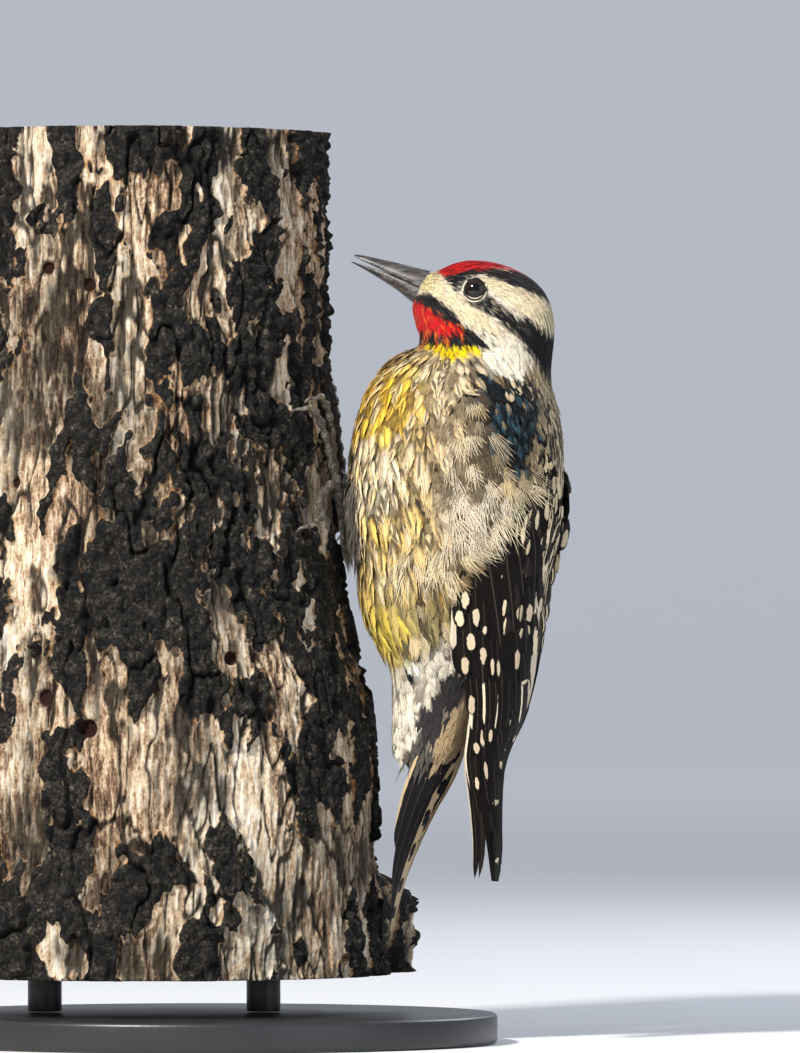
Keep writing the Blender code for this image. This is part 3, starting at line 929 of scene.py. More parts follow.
def scatter(amount):
    """Random points on the skin, closer on the head, with its normals, in the bird's frame."""
    loops = np.empty(len(skin_mesh.loop_triangles) * 3, np.int32)
    skin_mesh.loop_triangles.foreach_get("vertices", loops)
    corners = loops.reshape(-1, 3)
    a, b, c = (skin_points[corners[:, k]] for k in range(3))
    areas = np.linalg.norm(np.cross(b - a, c - a), axis=1)
    areas = areas * (1 + 3 * smooth_step(a[:, 2], 180, 186))
    pick = chance.choice(len(corners), amount, p=areas / areas.sum())
    u, v = chance.random((2, amount, 1))
    over = u + v > 1
    u, v = np.where(over, 1 - u, u), np.where(over, 1 - v, v)
    points = a[pick] * (1 - u - v) + b[pick] * u + c[pick] * v
    normals = unit(sum(skin_normals[corners[pick, k]] for k in range(3)))
    return to_bird(points), normals @ TURN


def evenly(chosen, points, spacing):
    """The indices of the chosen points, thinned out until each keeps its own spacing."""
    usable = np.flatnonzero(chosen)
    points, spacing = points[usable], np.broadcast_to(spacing, len(chosen))[usable]
    tree = KDTree(len(points))
    for k, point in enumerate(points):
        tree.insert(point, k)
    tree.balance()
    alive = np.ones(len(points), bool)
    kept = []
    for k in range(len(points)):
        if alive[k]:
            kept.append(k)
            for _, other, _ in tree.find_range(points[k], spacing[k]):
                alive[other] = False
    return usable[kept]


SEED, CLOUD_SIZE = 11, 240000
chance = np.random.default_rng(SEED)
skin_mesh.calc_loop_triangles()
cloud, cloud_normals = scatter(CLOUD_SIZE)
print("scattered", len(cloud))

# %% [markdown]
# ## Laying feathers
# Each feather is a curve over what lies below it: its root, a middle and a tip, the last two
# dropped onto skin, wing or tail and lifted a little. The flat shape is bent along that
# curve, cupped across, coloured, and given its small patch of the bake map.

# %% What the coat rests on
ground_points, ground_faces = [skin_points], list(skin_faces)
for name in ("wing_left", "wing_right", "tail"):
    first = sum(len(part) for part in ground_points)
    ground_points.append(rows_of(nodes[name].data).astype(float) / MM)
    ground_faces += [[v + first for v in face.vertices] for face in nodes[name].data.polygons]
ground_tree = BVHTree.FromPolygons(
    [Vector(p) for p in np.concatenate(ground_points)], ground_faces)
print("the coat rests on", len(ground_faces), "faces of skin, wings and tail")

# %% [markdown]
# ## One joined mesh for many feathers
# Hair particles or instances could carry the feathers too. Arrays are used because they give
# one light mesh for each region, which rides, bakes and exports like any other piece.

# %% Paths over the coat
PATH_POINTS = 5
FREE_HEIGHT, REACH_DOWN = 7, 12
STRETCH_LIMIT = 1.6
BAKE_PATCH = 0.003


def skin_faces_near(points):
    """The skin's face nearest to each point, for its place on the unwrap."""
    return np.array([skin_tree.find_nearest(point)[2] for point in to_world(points)])


def rest_on(points, normals, lift):
    """Drop points onto skin, wings or tail from outside, and lift them off again."""
    world, out = to_world(points), normals @ TURN.T
    rested = world + out * lift[:, None]
    for k, (point, way) in enumerate(zip(world, out)):
        hit = ground_tree.ray_cast(point + way * FREE_HEIGHT, -way, REACH_DOWN)[0]
        if hit is None:
            hit, way = ground_tree.find_nearest(point)[:2]
        rested[k] = np.array(hit) + way * lift[k]
    return to_bird(rested)


def curve_over(roots, way, normals, plan):
    """Five points along each feather: from its root, over what lies below, to its tip."""
    length = plan["length"][:, None]
    middle = rest_on(roots + way * length * 0.5, normals, plan["lift"] * 0.8)
    end = rest_on(roots + way * length, normals, plan["lift"])
    start = roots - normals * 0.15
    bend = 2 * middle - 0.5 * (start + end)
    t = np.linspace(0, 1, PATH_POINTS)[None, :, None]
    path = start[:, None] * (1 - t) ** 2 + bend[:, None] * 2 * t * (1 - t)
    return path + end[:, None] * t ** 2


print("paths ready")

# %% [markdown]
# The bending is array work: every point of every feather is read off its own path at once,
# with the feather's colours and its patch of the bake map.

# %% Bend and join feathers


def blades(name, shape, paths, normals, half, cup, faces, layers, material, mirrored=False):
    """Bend a flat feather along many paths and join them all in one mesh.

    paths and normals are arrays of feathers by points; layers are the colours to store.
    """
    points, loops, starts = TEMPLATES[shape]
    amount, steps = paths.shape[:2]
    across, along, rise = points.T
    place = np.clip(along, 0, 1.1) * (steps - 1)
    low = np.clip(place.astype(int), 0, steps - 2)
    share = (place - low)[None, :, None]
    tangents = np.gradient(paths, axis=1)
    at = paths[:, low] * (1 - share) + paths[:, low + 1] * share
    run = tangents[:, low] * (1 - share) + tangents[:, low + 1] * share
    out = normals[:, np.minimum(low, normals.shape[1] - 1)]
    edge = unit(np.cross(run, out))
    up = unit(np.cross(edge, run))
    size = half[:, None, None]
    sink = rise[None, :, None] - cup[:, None, None] * across[None, :, None] ** 2
    placed = at - edge * across[None, :, None] * size + up * sink * size
    placed = placed.reshape(-1, 3)
    count, sides = len(points), len(loops)
    corner = loops
    if mirrored:
        placed = placed * [1, -1, 1]
        ends = [*starts[1:], sides]
        corner = np.concatenate([loops[a:b][::-1] for a, b in zip(starts, ends)])
    all_loops = (corner[None] + count * np.arange(amount)[:, None]).ravel()
    all_starts = (starts[None] + sides * np.arange(amount)[:, None]).ravel()
    mesh = array_mesh(name, to_world(placed), all_loops, all_starts)
    vane = np.stack([across * 0.5 + 0.5, along], axis=1)[corner]
    bake = skin_face_uv[faces][:, None] + ((vane - 0.5) * BAKE_PATCH)[None]
    store_uv(mesh, "vane", np.tile(vane, (amount, 1)))
    store_uv(mesh, "OFBake", np.clip(bake.reshape(-1, 2), 0, 1))
    for label, values in layers.items():
        set_point_colours(mesh, label, np.repeat(values, count, axis=0))
    return finish_piece(name, mesh, material)


def lay_feathers(name, shape, roots, normals, plan, tints, marks, material, **more):
    """Lay one joined mesh of small feathers along the lie of the coat."""
    way = lie_of_coat(roots, normals)
    way = unit(way + np.cross(way, normals) * plan["twist"][:, None])
    paths = curve_over(roots, way, normals, plan)
    gone = np.linalg.norm(np.diff(paths, axis=1), axis=2).sum(1)
    even = gone < STRETCH_LIMIT * plan["length"]
    roots, normals, paths, tints, marks = choose((roots, normals, paths, tints, marks), even)
    plan, more = choose(plan, even), choose(more, even)
    held = np.repeat(normals[:, None], PATH_POINTS, axis=1)
    blades(name, shape, paths, held, plan["half"], plan["cup"], skin_faces_near(roots),
           {"tint": tints, "marks": marks, **more}, material)


def store_uv(mesh, name, values):
    """Add a UV map with one pair for each face corner."""
    layer = mesh.uv_layers.new(name=name)
    layer.data.foreach_set("uv", np.ascontiguousarray(values, np.float32).ravel())


print("ready to lay feathers")

# %% [markdown]
# ## Feather material
# One material serves all small feathers. The ground colour comes from each feather, and its
# marks say how strong the dark chevron and the shaft streak are. Fine barbs run slantwise
# from the shaft, as bump and as a slight change of tone.

# %% Feather material
BARB_RIM = rgba(214, 158, 48)


def feather_material():
    """A soft vane with optional chevron, streak, dark base and golden rim."""
    made, shader, start = new_material(
        "plumage", Roughness=0.62, Sheen_Weight=0.08, Sheen_Roughness=0.5,
        Specular_IOR_Level=0.12)
    across, along, _ = parts_of(start.make("ShaderNodeUVMap", {"uv_map": "vane"}))
    across = (across - 0.5).maths("ABSOLUTE") * 2
    chevron_share, streak_share, base_share = parts_of(
        attribute(start, "marks"), "ShaderNodeSeparateColor")
    waver = speckles(start, 420, 2) - 0.5
    height = along + across * 0.3 + waver * 0.25
    chevron = height.step(0.56, 0.66) * (1 - height.step(0.86, 0.96)) * chevron_share
    streak = (1 - across.step(0.1, 0.3)) * along.step(0.15, 0.3) * streak_share
    streak = streak * (1 - along.step(0.8, 0.95))
    barbs = ((across * 30 - along * 22).maths("SINE") * 0.5) + 0.5
    fine = speckles(start, 2600, 1)
    light = barbs * 0.2 + fine.step(0.3, 0.6) * 0.25 + 0.58
    # Dark base: the root's own darker colour, and painted shade where the tips overlap.
    base = (1 - (along + waver * 0.35 - across * 0.24).step(0.14, 0.52)) * base_share
    rim = across.step(0.35, 0.95) * (1 - attribute(start, "marks", 3))
    tone = rim.blend(light.blend(NIGHT, attribute(start, "tint")), BARB_RIM)
    mark = chevron.maths("MAXIMUM", streak).maths("MAXIMUM", base).maths("MINIMUM", 1)
    plug(shader, Base_Color=mark.blend(tone, MARK), Normal=bumped(barbs, 0.00006, 0.6))
    return made


plumage = feather_material()
print("feather material ready")

# %% [markdown]
# ## The small feathers
# Each region of the bird has its own feather: tiny ones round bill and eye, close ones on
# crown and neck, loose ones on the breast, long wisps on the flank.

# %% Sizes for many feathers


def make_plan(amount, length, half, lift, cup=0.25, vary=0.15, twist=0.12):
    """Sizes for many feathers, each a little different."""
    scale = 1 + vary * chance.standard_normal(amount)
    return {
        "length": np.broadcast_to(length, amount) * np.clip(scale, 0.6, 1.5),
        "half": np.broadcast_to(half, amount) * np.clip(scale, 0.7, 1.3),
        "lift": np.broadcast_to(lift, amount) * (0.8 + 0.4 * chance.random(amount)),
        "cup": np.broadcast_to(cup, amount).astype(float),
        "twist": twist * chance.standard_normal(amount),
    }


def varied(tints, amount=0.12):
    """The same colours with a little light and dark."""
    scale = 1 + amount * chance.standard_normal((len(tints), 1))
    return np.clip(tints * np.clip(scale, 0.55, 1.5), 0, 1)


print("plans ready")

# %% [markdown]
# Roots under the folded wing move out onto it, and the face's are told by their distance from
# eye and bill.

# %% Choose roots for the regions
OUTSIDE, WEB = 9, 0.8


def raise_roots(points, normals):
    """Move roots that a folded wing hides onto the wing's outer face, and say which moved."""
    world, out = to_world(points), normals @ TURN.T
    moved = np.zeros(len(points), bool)
    for k in range(len(points)):
        way = out[k]
        hit, slope, _, far = ground_tree.ray_cast(world[k] + way * OUTSIDE, -way, OUTSIDE)
        if hit is not None and far < OUTSIDE - WEB:
            world[k] = hit
            out[k] = slope if slope.dot(way) > 0 else -slope
            moved[k] = True
    return to_bird(world), out @ TURN, moved


EYE_X, EYE_Z = 73.1, 199.05


def from_eye(points):
    """How far points are from the middle of the eye, as seen from its own side."""
    away = np.hypot(points[:, 0] - EYE_X, points[:, 2] - EYE_Z)
    return np.where(np.abs(points[:, 1]) > 4, away, 99)


def choose(parts, chosen):
    """The chosen ones of several arrays or of the arrays in a plan."""
    if isinstance(parts, dict):
        return {key: value[chosen] for key, value in parts.items()}
    return [part[chosen] for part in parts]


def along_coat(roots, normals, plan, share):
    """Where a share of each feather's length ends."""
    return roots + lie_of_coat(roots, normals) * plan["length"][:, None] * share


def lay_groups(groups, roots, normals, plan, tints, marks):
    """Lay several joined meshes: each has a name, a shape and a choice of the roots."""
    for label, shape, chosen in groups:
        picked = choose((roots, normals, tints, marks), chosen)
        lay_feathers(label, shape, *picked[:2], choose(plan, chosen), *picked[2:], plumage)


height = cloud[:, 2] + 0.35 * (cloud[:, 0] - 66)
is_head = height > 181
away_from_eye = from_eye(cloud)
face_share = np.clip(1 - (cloud[:, 0] - 56) / 20, 0, 1) * (cloud[:, 2] > 190)
face_share = np.maximum(face_share, np.clip(1 - (away_from_eye - 3) / 4, 0, 1))
inside_bill = (cloud[:, 0] < 57.8) & (np.hypot(cloud[:, 1], cloud[:, 2] - 200.3) < 3.4)
print("roots on head and neck:", int(is_head.sum()))

# %% [markdown]
# ## Head and neck
# The head's feathers are the smallest: hair-fine round bill and eye, longer towards the neck.
# They keep clear of eye and bill, and each takes its colour from where its tip lies, so the
# bands stay crisp.

# %% Head and neck feathers
low = np.clip((190 - height) / 10, 0, 1)
low = low * (1 - 0.8 * near(cloud[:, 0], cloud[:, 2], (65, 184), 15))
spacing = 0.72 - 0.22 * face_share + 0.45 * low
kept = evenly(is_head & (away_from_eye > 3.25) & ~inside_bill, cloud, spacing)
roots, normals, share, low = choose((cloud, cloud_normals, face_share, low), kept)
plan = make_plan(
    len(kept), 4.2 - 2 * share + 1.8 * low, 0.47 - 0.17 * share + 0.5 * low,
    0.42 - 0.15 * share + 0.25 * low, twist=0.2,
)
ends = along_coat(roots, normals, plan, 1)
clear = np.minimum(from_eye(ends), from_eye((roots + ends) / 2)) > 3
tips = along_coat(roots, normals, plan, 0.82)
tints = varied(plumage_tint(tips), 0.14)
x, z = seen_from_left(roots)
throat = patch(x, z - 2, THROAT_RED, 0.5) * (chance.random(len(kept)) < 0.22)
cap = patch(x, z, RED_CAP, 0.5) * (chance.random(len(kept)) < 0.24)
grizzled = (chance.random(len(kept)) < 0.38) * patch(x, z, EAR_BLACK, 1.5)
grizzled = grizzled * (1 - smooth_step(x, 79, 86))
tints = paint(tints, (throat * 0.75, ORANGE), (cap * 0.75, DARK_RED), (grizzled * 0.7, ASH))
marks = np.zeros((len(kept), 3))
marks[:, 2] = patch(*seen_from_left(tips), YELLOW_PATCH, 0.8)
loose, face = low > 0.3, share > 0.28
lay_groups((
    ("face_feathers", "hairy", face & clear & ~loose),
    ("head_feathers", "hairy", ~face & clear & ~loose),
    ("neck_feathers", "fluffy", loose),
), roots, normals, plan, tints, marks)

# %% [markdown]
# ## Where the coat changes
# Flank, shoulder, mantle and vent each wear another kind of feather. Soft masks over the
# scattered roots say how far each region reaches, and feathers that a folded wing would hide
# start on the wing instead.

# %% Where the coat changes
high_roots, high_normals, on_wing = raise_roots(cloud, cloud_normals)
x_all, z_all = seen_from_left(high_roots)
flank = patch(x_all, z_all, FLANK, 3)
is_body = (height <= 182.5) & (cloud[:, 2] > 60)
edge = np.interp(x_all, (60, 66, 72, 78, 84, 88), (119, 125, 134, 144, 151, 155))
dressed = ~on_wing | (z_all > edge)
shoulder = patch(x_all, z_all, SHOULDER_BLACK, 1.5)
mantle = smooth_step(x_all, 78, 82) * smooth_step(z_all, 112, 116) * (1 - flank)
mantle = mantle * (1 - shoulder)
vent = 1 - smooth_step(z_all, 98, 106)
print("roots on the wings:", int(on_wing.sum()))

# %% [markdown]
# ## The lower layer
# Body feathers come in two layers. This one is short and dark, as the hidden grey bases of
# real feathers are, and its darkening is also painted shade for the gaps between the outer
# feathers. It covers vent, shoulder and rump by itself.

# %% Breast, belly and back feathers
spacing = 1.25 + 0.1 * vent - 0.3 * shoulder
kept = evenly(is_body & dressed & (mantle < 0.5), high_roots, spacing)
roots, normals, side, raised, low, dark = choose(
    (high_roots, high_normals, flank, on_wing, vent, shoulder), kept)
short = 1 - 0.3 * (1 - smooth_step(roots[:, 2], 74, 88))
plan = make_plan(
    len(kept), (5.4 + 2 * side + 1.8 * low - 1.6 * dark) * short,
    1.15 + 0.5 * side - 0.4 * dark, 0.6 + 0.3 * side + 0.3 * raised, cup=0.2,
    twist=0.16 + 0.2 * side,
)
tips = along_coat(roots, normals, plan, 0.7)
fleck = chance.random(len(kept))
# Smooth feathers lie over the painted shadow, the tan band of painted shade and the tail's black
# top.
smooth = sum(patch(*seen_from_left(tips), part, 0.5)
             for part in (PAINTED_SHADOW_PATCH, SHADED_RUMP_BAND, TAIL_TOP)) > 0.5
tints = varied(plumage_tint(tips), 0.2)
tints[smooth] = varied(plumage_tint(tips[smooth]), 0.04)
plan["half"] = np.where(smooth, 0.7 + smooth_step(tips[:, 2], 76, 84), plan["half"])
plan["lift"] = np.where(smooth, 0.45, plan["lift"])
plan["cup"] = np.where(smooth, 0.05, plan["cup"])
# Painted shade in part: the lower layer is darkened towards umber by this share, more on the
# flank.
depth = np.maximum(0.5 + 0.35 * fleck, (0.65 + 0.35 * fleck) * side)
depth = depth * smooth_step(z_all[kept], 104, 116)
tints = paint(
    tints,
    ((1 - low) * (1 - dark) * depth, UMBER),
    # Painted shade: darker still in the band by the wing.
    (patch(*seen_from_left(tips), PAINTED_SHADE_BY_WING, 2) * 0.6, BLACK),
    ((fleck < 0.14) * low * ~smooth * 0.7, UMBER),
    ((fleck < 0.3) * dark * 0.55, STEEL_BLUE),
    ((fleck > 0.93) * dark * 0.7, BUFF),
)
half_of_them = chance.random(len(kept)) < 0.5
lay_groups((
    ("breast_feathers", "loose", half_of_them & ~smooth & (dark < 0.5)),
    ("belly_feathers", "fluffy", ~half_of_them & ~smooth & (dark < 0.5)),
    ("shoulder_feathers", "hairy", ~smooth & (dark >= 0.5)),
    ("rump_feathers", "close", smooth),
), roots, normals, plan, tints, np.zeros((len(kept), 3)))

# %% [markdown]
# ## The outer layer
# Over it lie longer feathers with free, hairy edges. On the breast they close to a point and
# carry dark bases, partly their own colour and partly painted shade between the tips, arrow
# marks and a golden rim; on the flank they fall apart into wisps.

# %% Long outer feathers of breast and flank
SQUEEZE = (1, 1, 0.6)  # the rows stand further apart along the body than across it
outer = (1 - shoulder) * (1 - mantle) * smooth_step(z_all - 0.4 * (x_all - 50), 107, 112)
spacing = 2.2 - 0.45 * flank - 0.4 * smooth_step(z_all, 162, 174)
kept = evenly(is_body & dressed & (outer > 0.5), high_roots * SQUEEZE, spacing)
roots, normals, side, raised, x, z = choose(
    (high_roots, high_normals, flank, on_wing, x_all, z_all), kept)
amount = len(kept)
high = smooth_step(z, 162, 174)
plan = make_plan(amount, 9.8 + 0.4 * side - 2.6 * high, 1.55 + (side > 0.5) - 0.35 * high,
                 1.5 + 0.4 * side + 0.4 * raised - 0.4 * high, cup=0.3, vary=0.2,
                 twist=0.24 + 0.2 * side)
tints = varied(plumage_tint(along_coat(roots, normals, plan, 0.8)) * 1.08, 0.1)
fleck, kind = chance.random((2, amount))
front = 1 - smooth_step(x, 50, 66)
marked = smooth_step(z, 118, 128) * (1 - side)
tints = paint(
    tints,
    ((fleck < 0.4) * (1 - 0.4 * side) * smooth_step(z, 116, 126) * 0.7, PALE),
    ((fleck > 0.8) * front * marked * (0.3 + 0.3 * high), AMBER),
    ((fleck > 0.78) * (1 - front) * 0.4, BUFF),
    # Painted highlight: the lit middle of the flank is made whiter.
    (near(x, z, (73, 146), 13) * 0.8, WHITE),
    ((kind > 0.66) * side * 0.85, UMBER),
    ((kind < 0.4) * side * 0.6, WHITE),
    ((kind < 0.35) * patch(x, z, PAINTED_SHADE_BY_WING, 2) * 0.8, CREAM),
)
marks = np.stack([
    (kind < 0.16) * 0.8 * marked, (kind > 0.6) * 0.8 * marked,
    # Third: a dark base, partly real colour and partly painted shade between the tips.
    (0.85 + 0.15 * fleck) * (0.3 + 0.7 * marked) * (1 - side),
    1 - (0.3 + 0.5 * kind) * marked,
], axis=1)
lay_groups((
    ("breast_tufts", "tuft", side <= 0.5), ("flank_feathers", "wisp", side > 0.5),
), roots, normals, plan, tints, marks)

# %% [markdown]
# ## The fringe
# Where the bird rests, its longest flank feathers spill over the closed wing. They are laid
# along one line, and turn from forward to backward along it, as a parting does.

# %% Long fringe of the flank over the wing
line = np.interp(x_all, (50, 58, 66, 72, 78, 84), (129, 131, 134, 138, 145, 151))
on_line = is_body & (np.abs(z_all - line) < 2.4) & (x_all > 52) & (x_all < 84)
kept = evenly(on_line, high_roots, 2.3)
roots, normals = choose((high_roots, high_normals), kept)
plan = make_plan(len(kept), 11.5, 2.8, 1.9, cup=0.1, twist=0)
bent = 0.3 - 1 * smooth_step(x_all[kept], 56, 84)
plan["twist"] = bent + 0.35 * chance.standard_normal(len(kept))
tints = varied(np.tile(colour(236, 220, 184), (len(kept), 1)), 0.15)
tints = paint(tints, ((chance.random(len(kept)) < 0.25) * 0.7, UMBER))
lay_feathers("fringe_feathers", "fan", roots, normals, plan, tints,
             np.zeros((len(kept), 3)), plumage)

# %% [markdown]
# ## Wing and tail surfaces
# The long feathers follow the folded wing and the arched tail. Both surfaces are smooth
# curves through a few sections.

# %% Smooth surfaces through sections
# From the shoulder down: front edge x, z; back edge x, z; half width; first and last angle.
WING_SECTIONS = np.array((
    (43.5, 176.2, 96.8, 167, 22.3, 92, 122), (39.4, 167.9, 98.2, 158, 24.9, 86, 140),
    (37.6, 160, 98.4, 149.5, 25.9, 85, 152), (36.6, 151.4, 97.4, 140.5, 26.3, 86, 164),
    (37, 142.8, 94.8, 131.2, 26.1, 88, 175), (38, 133.6, 92.2, 121.5, 25.3, 92, 178),
    (39.8, 123.6, 90.4, 111.5, 23.8, 96, 178), (43.6, 112, 88.7, 99.5, 21.5, 99, 178),
    (49.6, 97.5, 85.8, 87.5, 17.5, 101, 178), (55.4, 86.5, 82, 78.8, 13.5, 101, 178),
    (60, 78.6, 79.9, 72, 11.5, 99, 177), (66.4, 66.8, 79.3, 62, 9.5, 100, 176),
    (70.6, 56.2, 79.2, 52, 8, 104, 175), (73.6, 49, 78.7, 46, 7, 110, 174),
    (76.4, 44, 78.1, 42.9, 6.4, 120, 172),
))
# From the root down: ridge x, z; edge x, z; half width.
TAIL_SECTIONS = np.array((
    (69.5, 79, 56, 80.5, 7.5), (66.2, 71, 53.2, 73, 8.5), (62.5, 65, 51.4, 66.3, 10.5),
    (59, 57.8, 49.8, 58, 11.6), (55.7, 50.3, 48.6, 50, 12), (52.8, 42.5, 48.2, 42, 11),
    (51, 36.2, 47.9, 35.5, 8.5), (49.7, 31, 47.9, 30.5, 5), (48.9, 26.8, 48.4, 26.9, 1.2),
))
ROUNDNESS = 0.92
SMALL_STEP = 1e-3


def spline(rows, places):
    """Rows blended smoothly, by a Catmull-Rom curve, at places along them."""
    last = len(rows) - 1
    low = np.clip(np.floor(places).astype(int), 0, last - 1)
    t = (places - low)[..., None]
    p0, p1, p2, p3 = (rows[np.clip(low + k, 0, last)] for k in (-1, 0, 1, 2))
    return 0.5 * (
        2 * p1 + (p2 - p0) * t + (2 * p0 - 5 * p1 + 4 * p2 - p3) * t ** 2
        + (3 * p1 - p0 - 3 * p2 + p3) * t ** 3
    )


def power(value):
    """A cosine or sine drawn a little towards a rounded box."""
    return np.sign(value) * np.abs(value) ** ROUNDNESS


def wing_surface(places):
    """Points of the left wing: how far down the sections, and across from edge to back."""
    row = spline(WING_SECTIONS, places[..., 0])
    angle = np.radians(row[..., 5] + (row[..., 6] - row[..., 5]) * places[..., 1])
    middle_x, middle_z = (row[..., 0] + row[..., 2]) / 2, (row[..., 1] + row[..., 3]) / 2
    reach_x, reach_z = (row[..., 0] - row[..., 2]) / 2, (row[..., 1] - row[..., 3]) / 2
    along, out = power(np.cos(angle)), power(np.sin(angle))
    return np.stack([middle_x + reach_x * along, -row[..., 4] * out,
                     middle_z + reach_z * along], axis=-1)


def tail_surface(places):
    """Points of the tail: how far down the sections, and across from -1 to 1."""
    row = spline(TAIL_SECTIONS, places[..., 0])
    across = places[..., 1]
    fall = np.abs(across) ** 1.7
    x = row[..., 0] + (row[..., 2] - row[..., 0]) * fall
    z = row[..., 1] + (row[..., 3] - row[..., 1]) * fall
    return np.stack([x, row[..., 4] * across, z], axis=-1)


def with_normals(surface, places, outwards):
    """Points of a surface and its normals, turned to one side."""
    points = surface(places)
    down = surface(places + [SMALL_STEP, 0]) - points
    over = surface(places + [0, SMALL_STEP]) - points
    normals = unit(np.cross(down, over))
    sign = np.sign((normals * outwards).sum(-1, keepdims=True))
    return points, normals * np.where(sign == 0, 1, sign)


wing_places = np.stack(np.meshgrid(
    np.linspace(0, 14, 281), np.linspace(0, 1, 81), indexing="ij"), axis=-1)
wing_shown = np.stack(seen_from_left(wing_surface(wing_places).reshape(-1, 3)), axis=-1)
print("wing shows from", wing_shown.min(0).round(1), "to", wing_shown.max(0).round(1))

# %% [markdown]
# A long feather is laid by its root and its tip, and the curve between them is read off the
# surface.

# %% Paths over a surface
LONG_STEPS = 13


def wing_place(x, z):
    """Where on the wing a point shows from the left."""
    away = np.hypot(*(wing_shown - [x, z]).T)
    return wing_places.reshape(-1, 2)[away.argmin()]


def surface_paths(surface, outwards, ends, offsets, lifts):
    """Paths from root to tip over a surface, each a little higher towards its tip."""
    t = np.linspace(0, 1, LONG_STEPS)
    roots, tips = np.array([e[0] for e in ends]), np.array([e[1] for e in ends])
    places = roots[:, None] + (tips - roots)[:, None] * t[None, :, None]
    points, normals = with_normals(surface, places, np.asarray(outwards))
    rise = offsets[:, None] + lifts[:, None] * t[None] ** 1.5
    return points + normals * rise[..., None], normals


print("long paths ready")

# %% [markdown]
# ## Flight feathers
# Wing and tail feathers are stiff, dark vanes. Their ovals, pale edges and tips are drawn
# in the vane's own map, so each mark sits squarely on its feather, as on the real bird.

# %% Long vane shapes


def long_vane(bm, steps, fullness, point):
    """A long flat vane: slim at its root, full along its length and narrowed at its tip."""
    def shape(across, along):
        tip = max(0, 1 - max(0, (along - point) / (1 - point)) ** 2.2) ** 0.5
        width = min(1, 0.3 + along * fullness) * tip
        return across * max(width, 0.03), along - 0.02 * across * across, 0

    grid(bm, 6, steps, shape)


TEMPLATES["flight"] = template(long_vane, 26, 2.2, 0.86)
TEMPLATES["covert"] = template(long_vane, 10, 2.5, 0.7)
TEMPLATES["stiff"] = template(long_vane, 26, 3, 0.45)
print("long vanes:", [len(TEMPLATES[name][0]) for name in ("flight", "covert", "stiff")], "points")

# %% [markdown]
# ## The finish of flight feathers
# A flight feather is a firm, nearly black vane. Ovals, pale edges and tips are worked out in
# its own map from numbers that each feather carries, which is cheaper than a material each.

# %% Flight feather material


def flight_material():
    """A dark vane with ovals, a pale edge and a pale tip where its marks ask."""
    made, shader, start = new_material(
        "flight_feathers", Roughness=0.55, Specular_IOR_Level=0.1)
    across, along, _ = parts_of(start.make("ShaderNodeUVMap", {"uv_map": "vane"}))
    marks, oval, size = (
        parts_of(attribute(start, name, 1)) for name in ("marks", "oval", "oval_size"))
    signed = (across - 0.5) * 2
    outwards = signed.maths("ABSOLUTE")
    waver = speckles(start, 600, 3) - 0.5
    turn = (along / oval[0] + oval[1]).maths("FRACT") - 0.5
    down = turn * oval[0] * size[0]
    over = (signed - oval[2]) * size[1]
    spread = (down * down + over * over).maths("SQRT") + waver * 1.1
    spot = (1 - spread.step(0.85, 1.05)) * size[2]
    rim = (waver * 0.2 - signed).step(0.6, 0.7) * marks[0]
    tip = (along + outwards * 0.05).step(0.975, 0.985) * marks[1]
    pale = spot.maths("MAXIMUM", rim).maths("MAXIMUM", tip)
    barbs = (along * 260 - outwards * 30).maths("SINE") * 0.5 + 0.5
    shaft = 1 - outwards.step(0.03, 0.09)
    worn = (barbs * 0.3 + 0.7).blend(NIGHT, attribute(start, "tint"))
    worn = (shaft * 0.35).blend(worn, rgba(96, 84, 74))
    white = (barbs * 0.25 + 0.75).blend(NEAR_BLACK, attribute(start, "ink"))
    plug(shader, Base_Color=pale.blend(worn, white),
         Normal=bumped(barbs * 0.4 + shaft, 0.00008, 0.7))
    return made


flight = flight_material()
print("flight feather material ready")

# %% [markdown]
# ## Wing feathers
# From below upwards lie the primaries, whose pale tips stack along the back edge, the
# secondaries with thin pale edges and the broad tertials.

# %% Rows of the wing feathers
# Each row: root x, z; tip x, z; half width; layer; pale edge; pale tip; how pale it is.
PRIMARIES = (
    (71, 100, 77.6, 43, 2, 0.15, 0, 0, 0),
    (72.5, 102, 78.1, 47, 1.8, 0.3, 0, 1, 0),
    (74, 104, 78, 62.6, 2.1, 0.45, 0, 1, 0),
    (75.5, 106, 79, 72.4, 2.2, 0.6, 0, 1, 0),
    (77, 108, 79.6, 76.4, 2.2, 0.72, 0, 1, 0),
    (78.5, 108, 81, 80.2, 2, 0.84, 0.6, 1, 0),
    (72, 110, 74.4, 76, 1.8, 0.9, 1, 0, 0),
    (71, 108, 72.6, 82, 2, 0.95, 1, 0, 0),
)
SPIKES = ((71.4, 104, 71.9, 43.2, 1.25, 0.1, 0.6, 0, 0),
          (71.8, 106, 72.9, 60, 1.3, 0.2, 1, 0, 0))
SECONDARIES = tuple(
    (72 + 1.6 * k, 118, 75.6 + 1.38 * k, 83 - 0.55 * k, 1.9, 1 + 0.07 * k, 1, 0, 0)
    for k in range(6)
)
TERTIALS = (
    (66.8, 125, 66.2, 104, 1, 1.2, 0, 0, 1),
    (68, 128, 69.6, 96, 3.2, 1.35, 0, 0, 0),
    (71.5, 130, 74.2, 95, 3.4, 1.45, 0, 0, 0),
    (75, 132, 79.2, 94, 3.4, 1.55, 0, 0, 0),
    (87.5, 128, 84.9, 86.4, 2.4, 1.6, 0, 0, 1),
    (79, 134, 82.6, 97.6, 3.6, 1.7, 0, 0, 0),
    (82.5, 134, 85, 94.6, 3.4, 1.85, 0, 0, 0),
    (87, 136, 87.2, 107, 3.2, 1.8, 0, 0, 0),
)
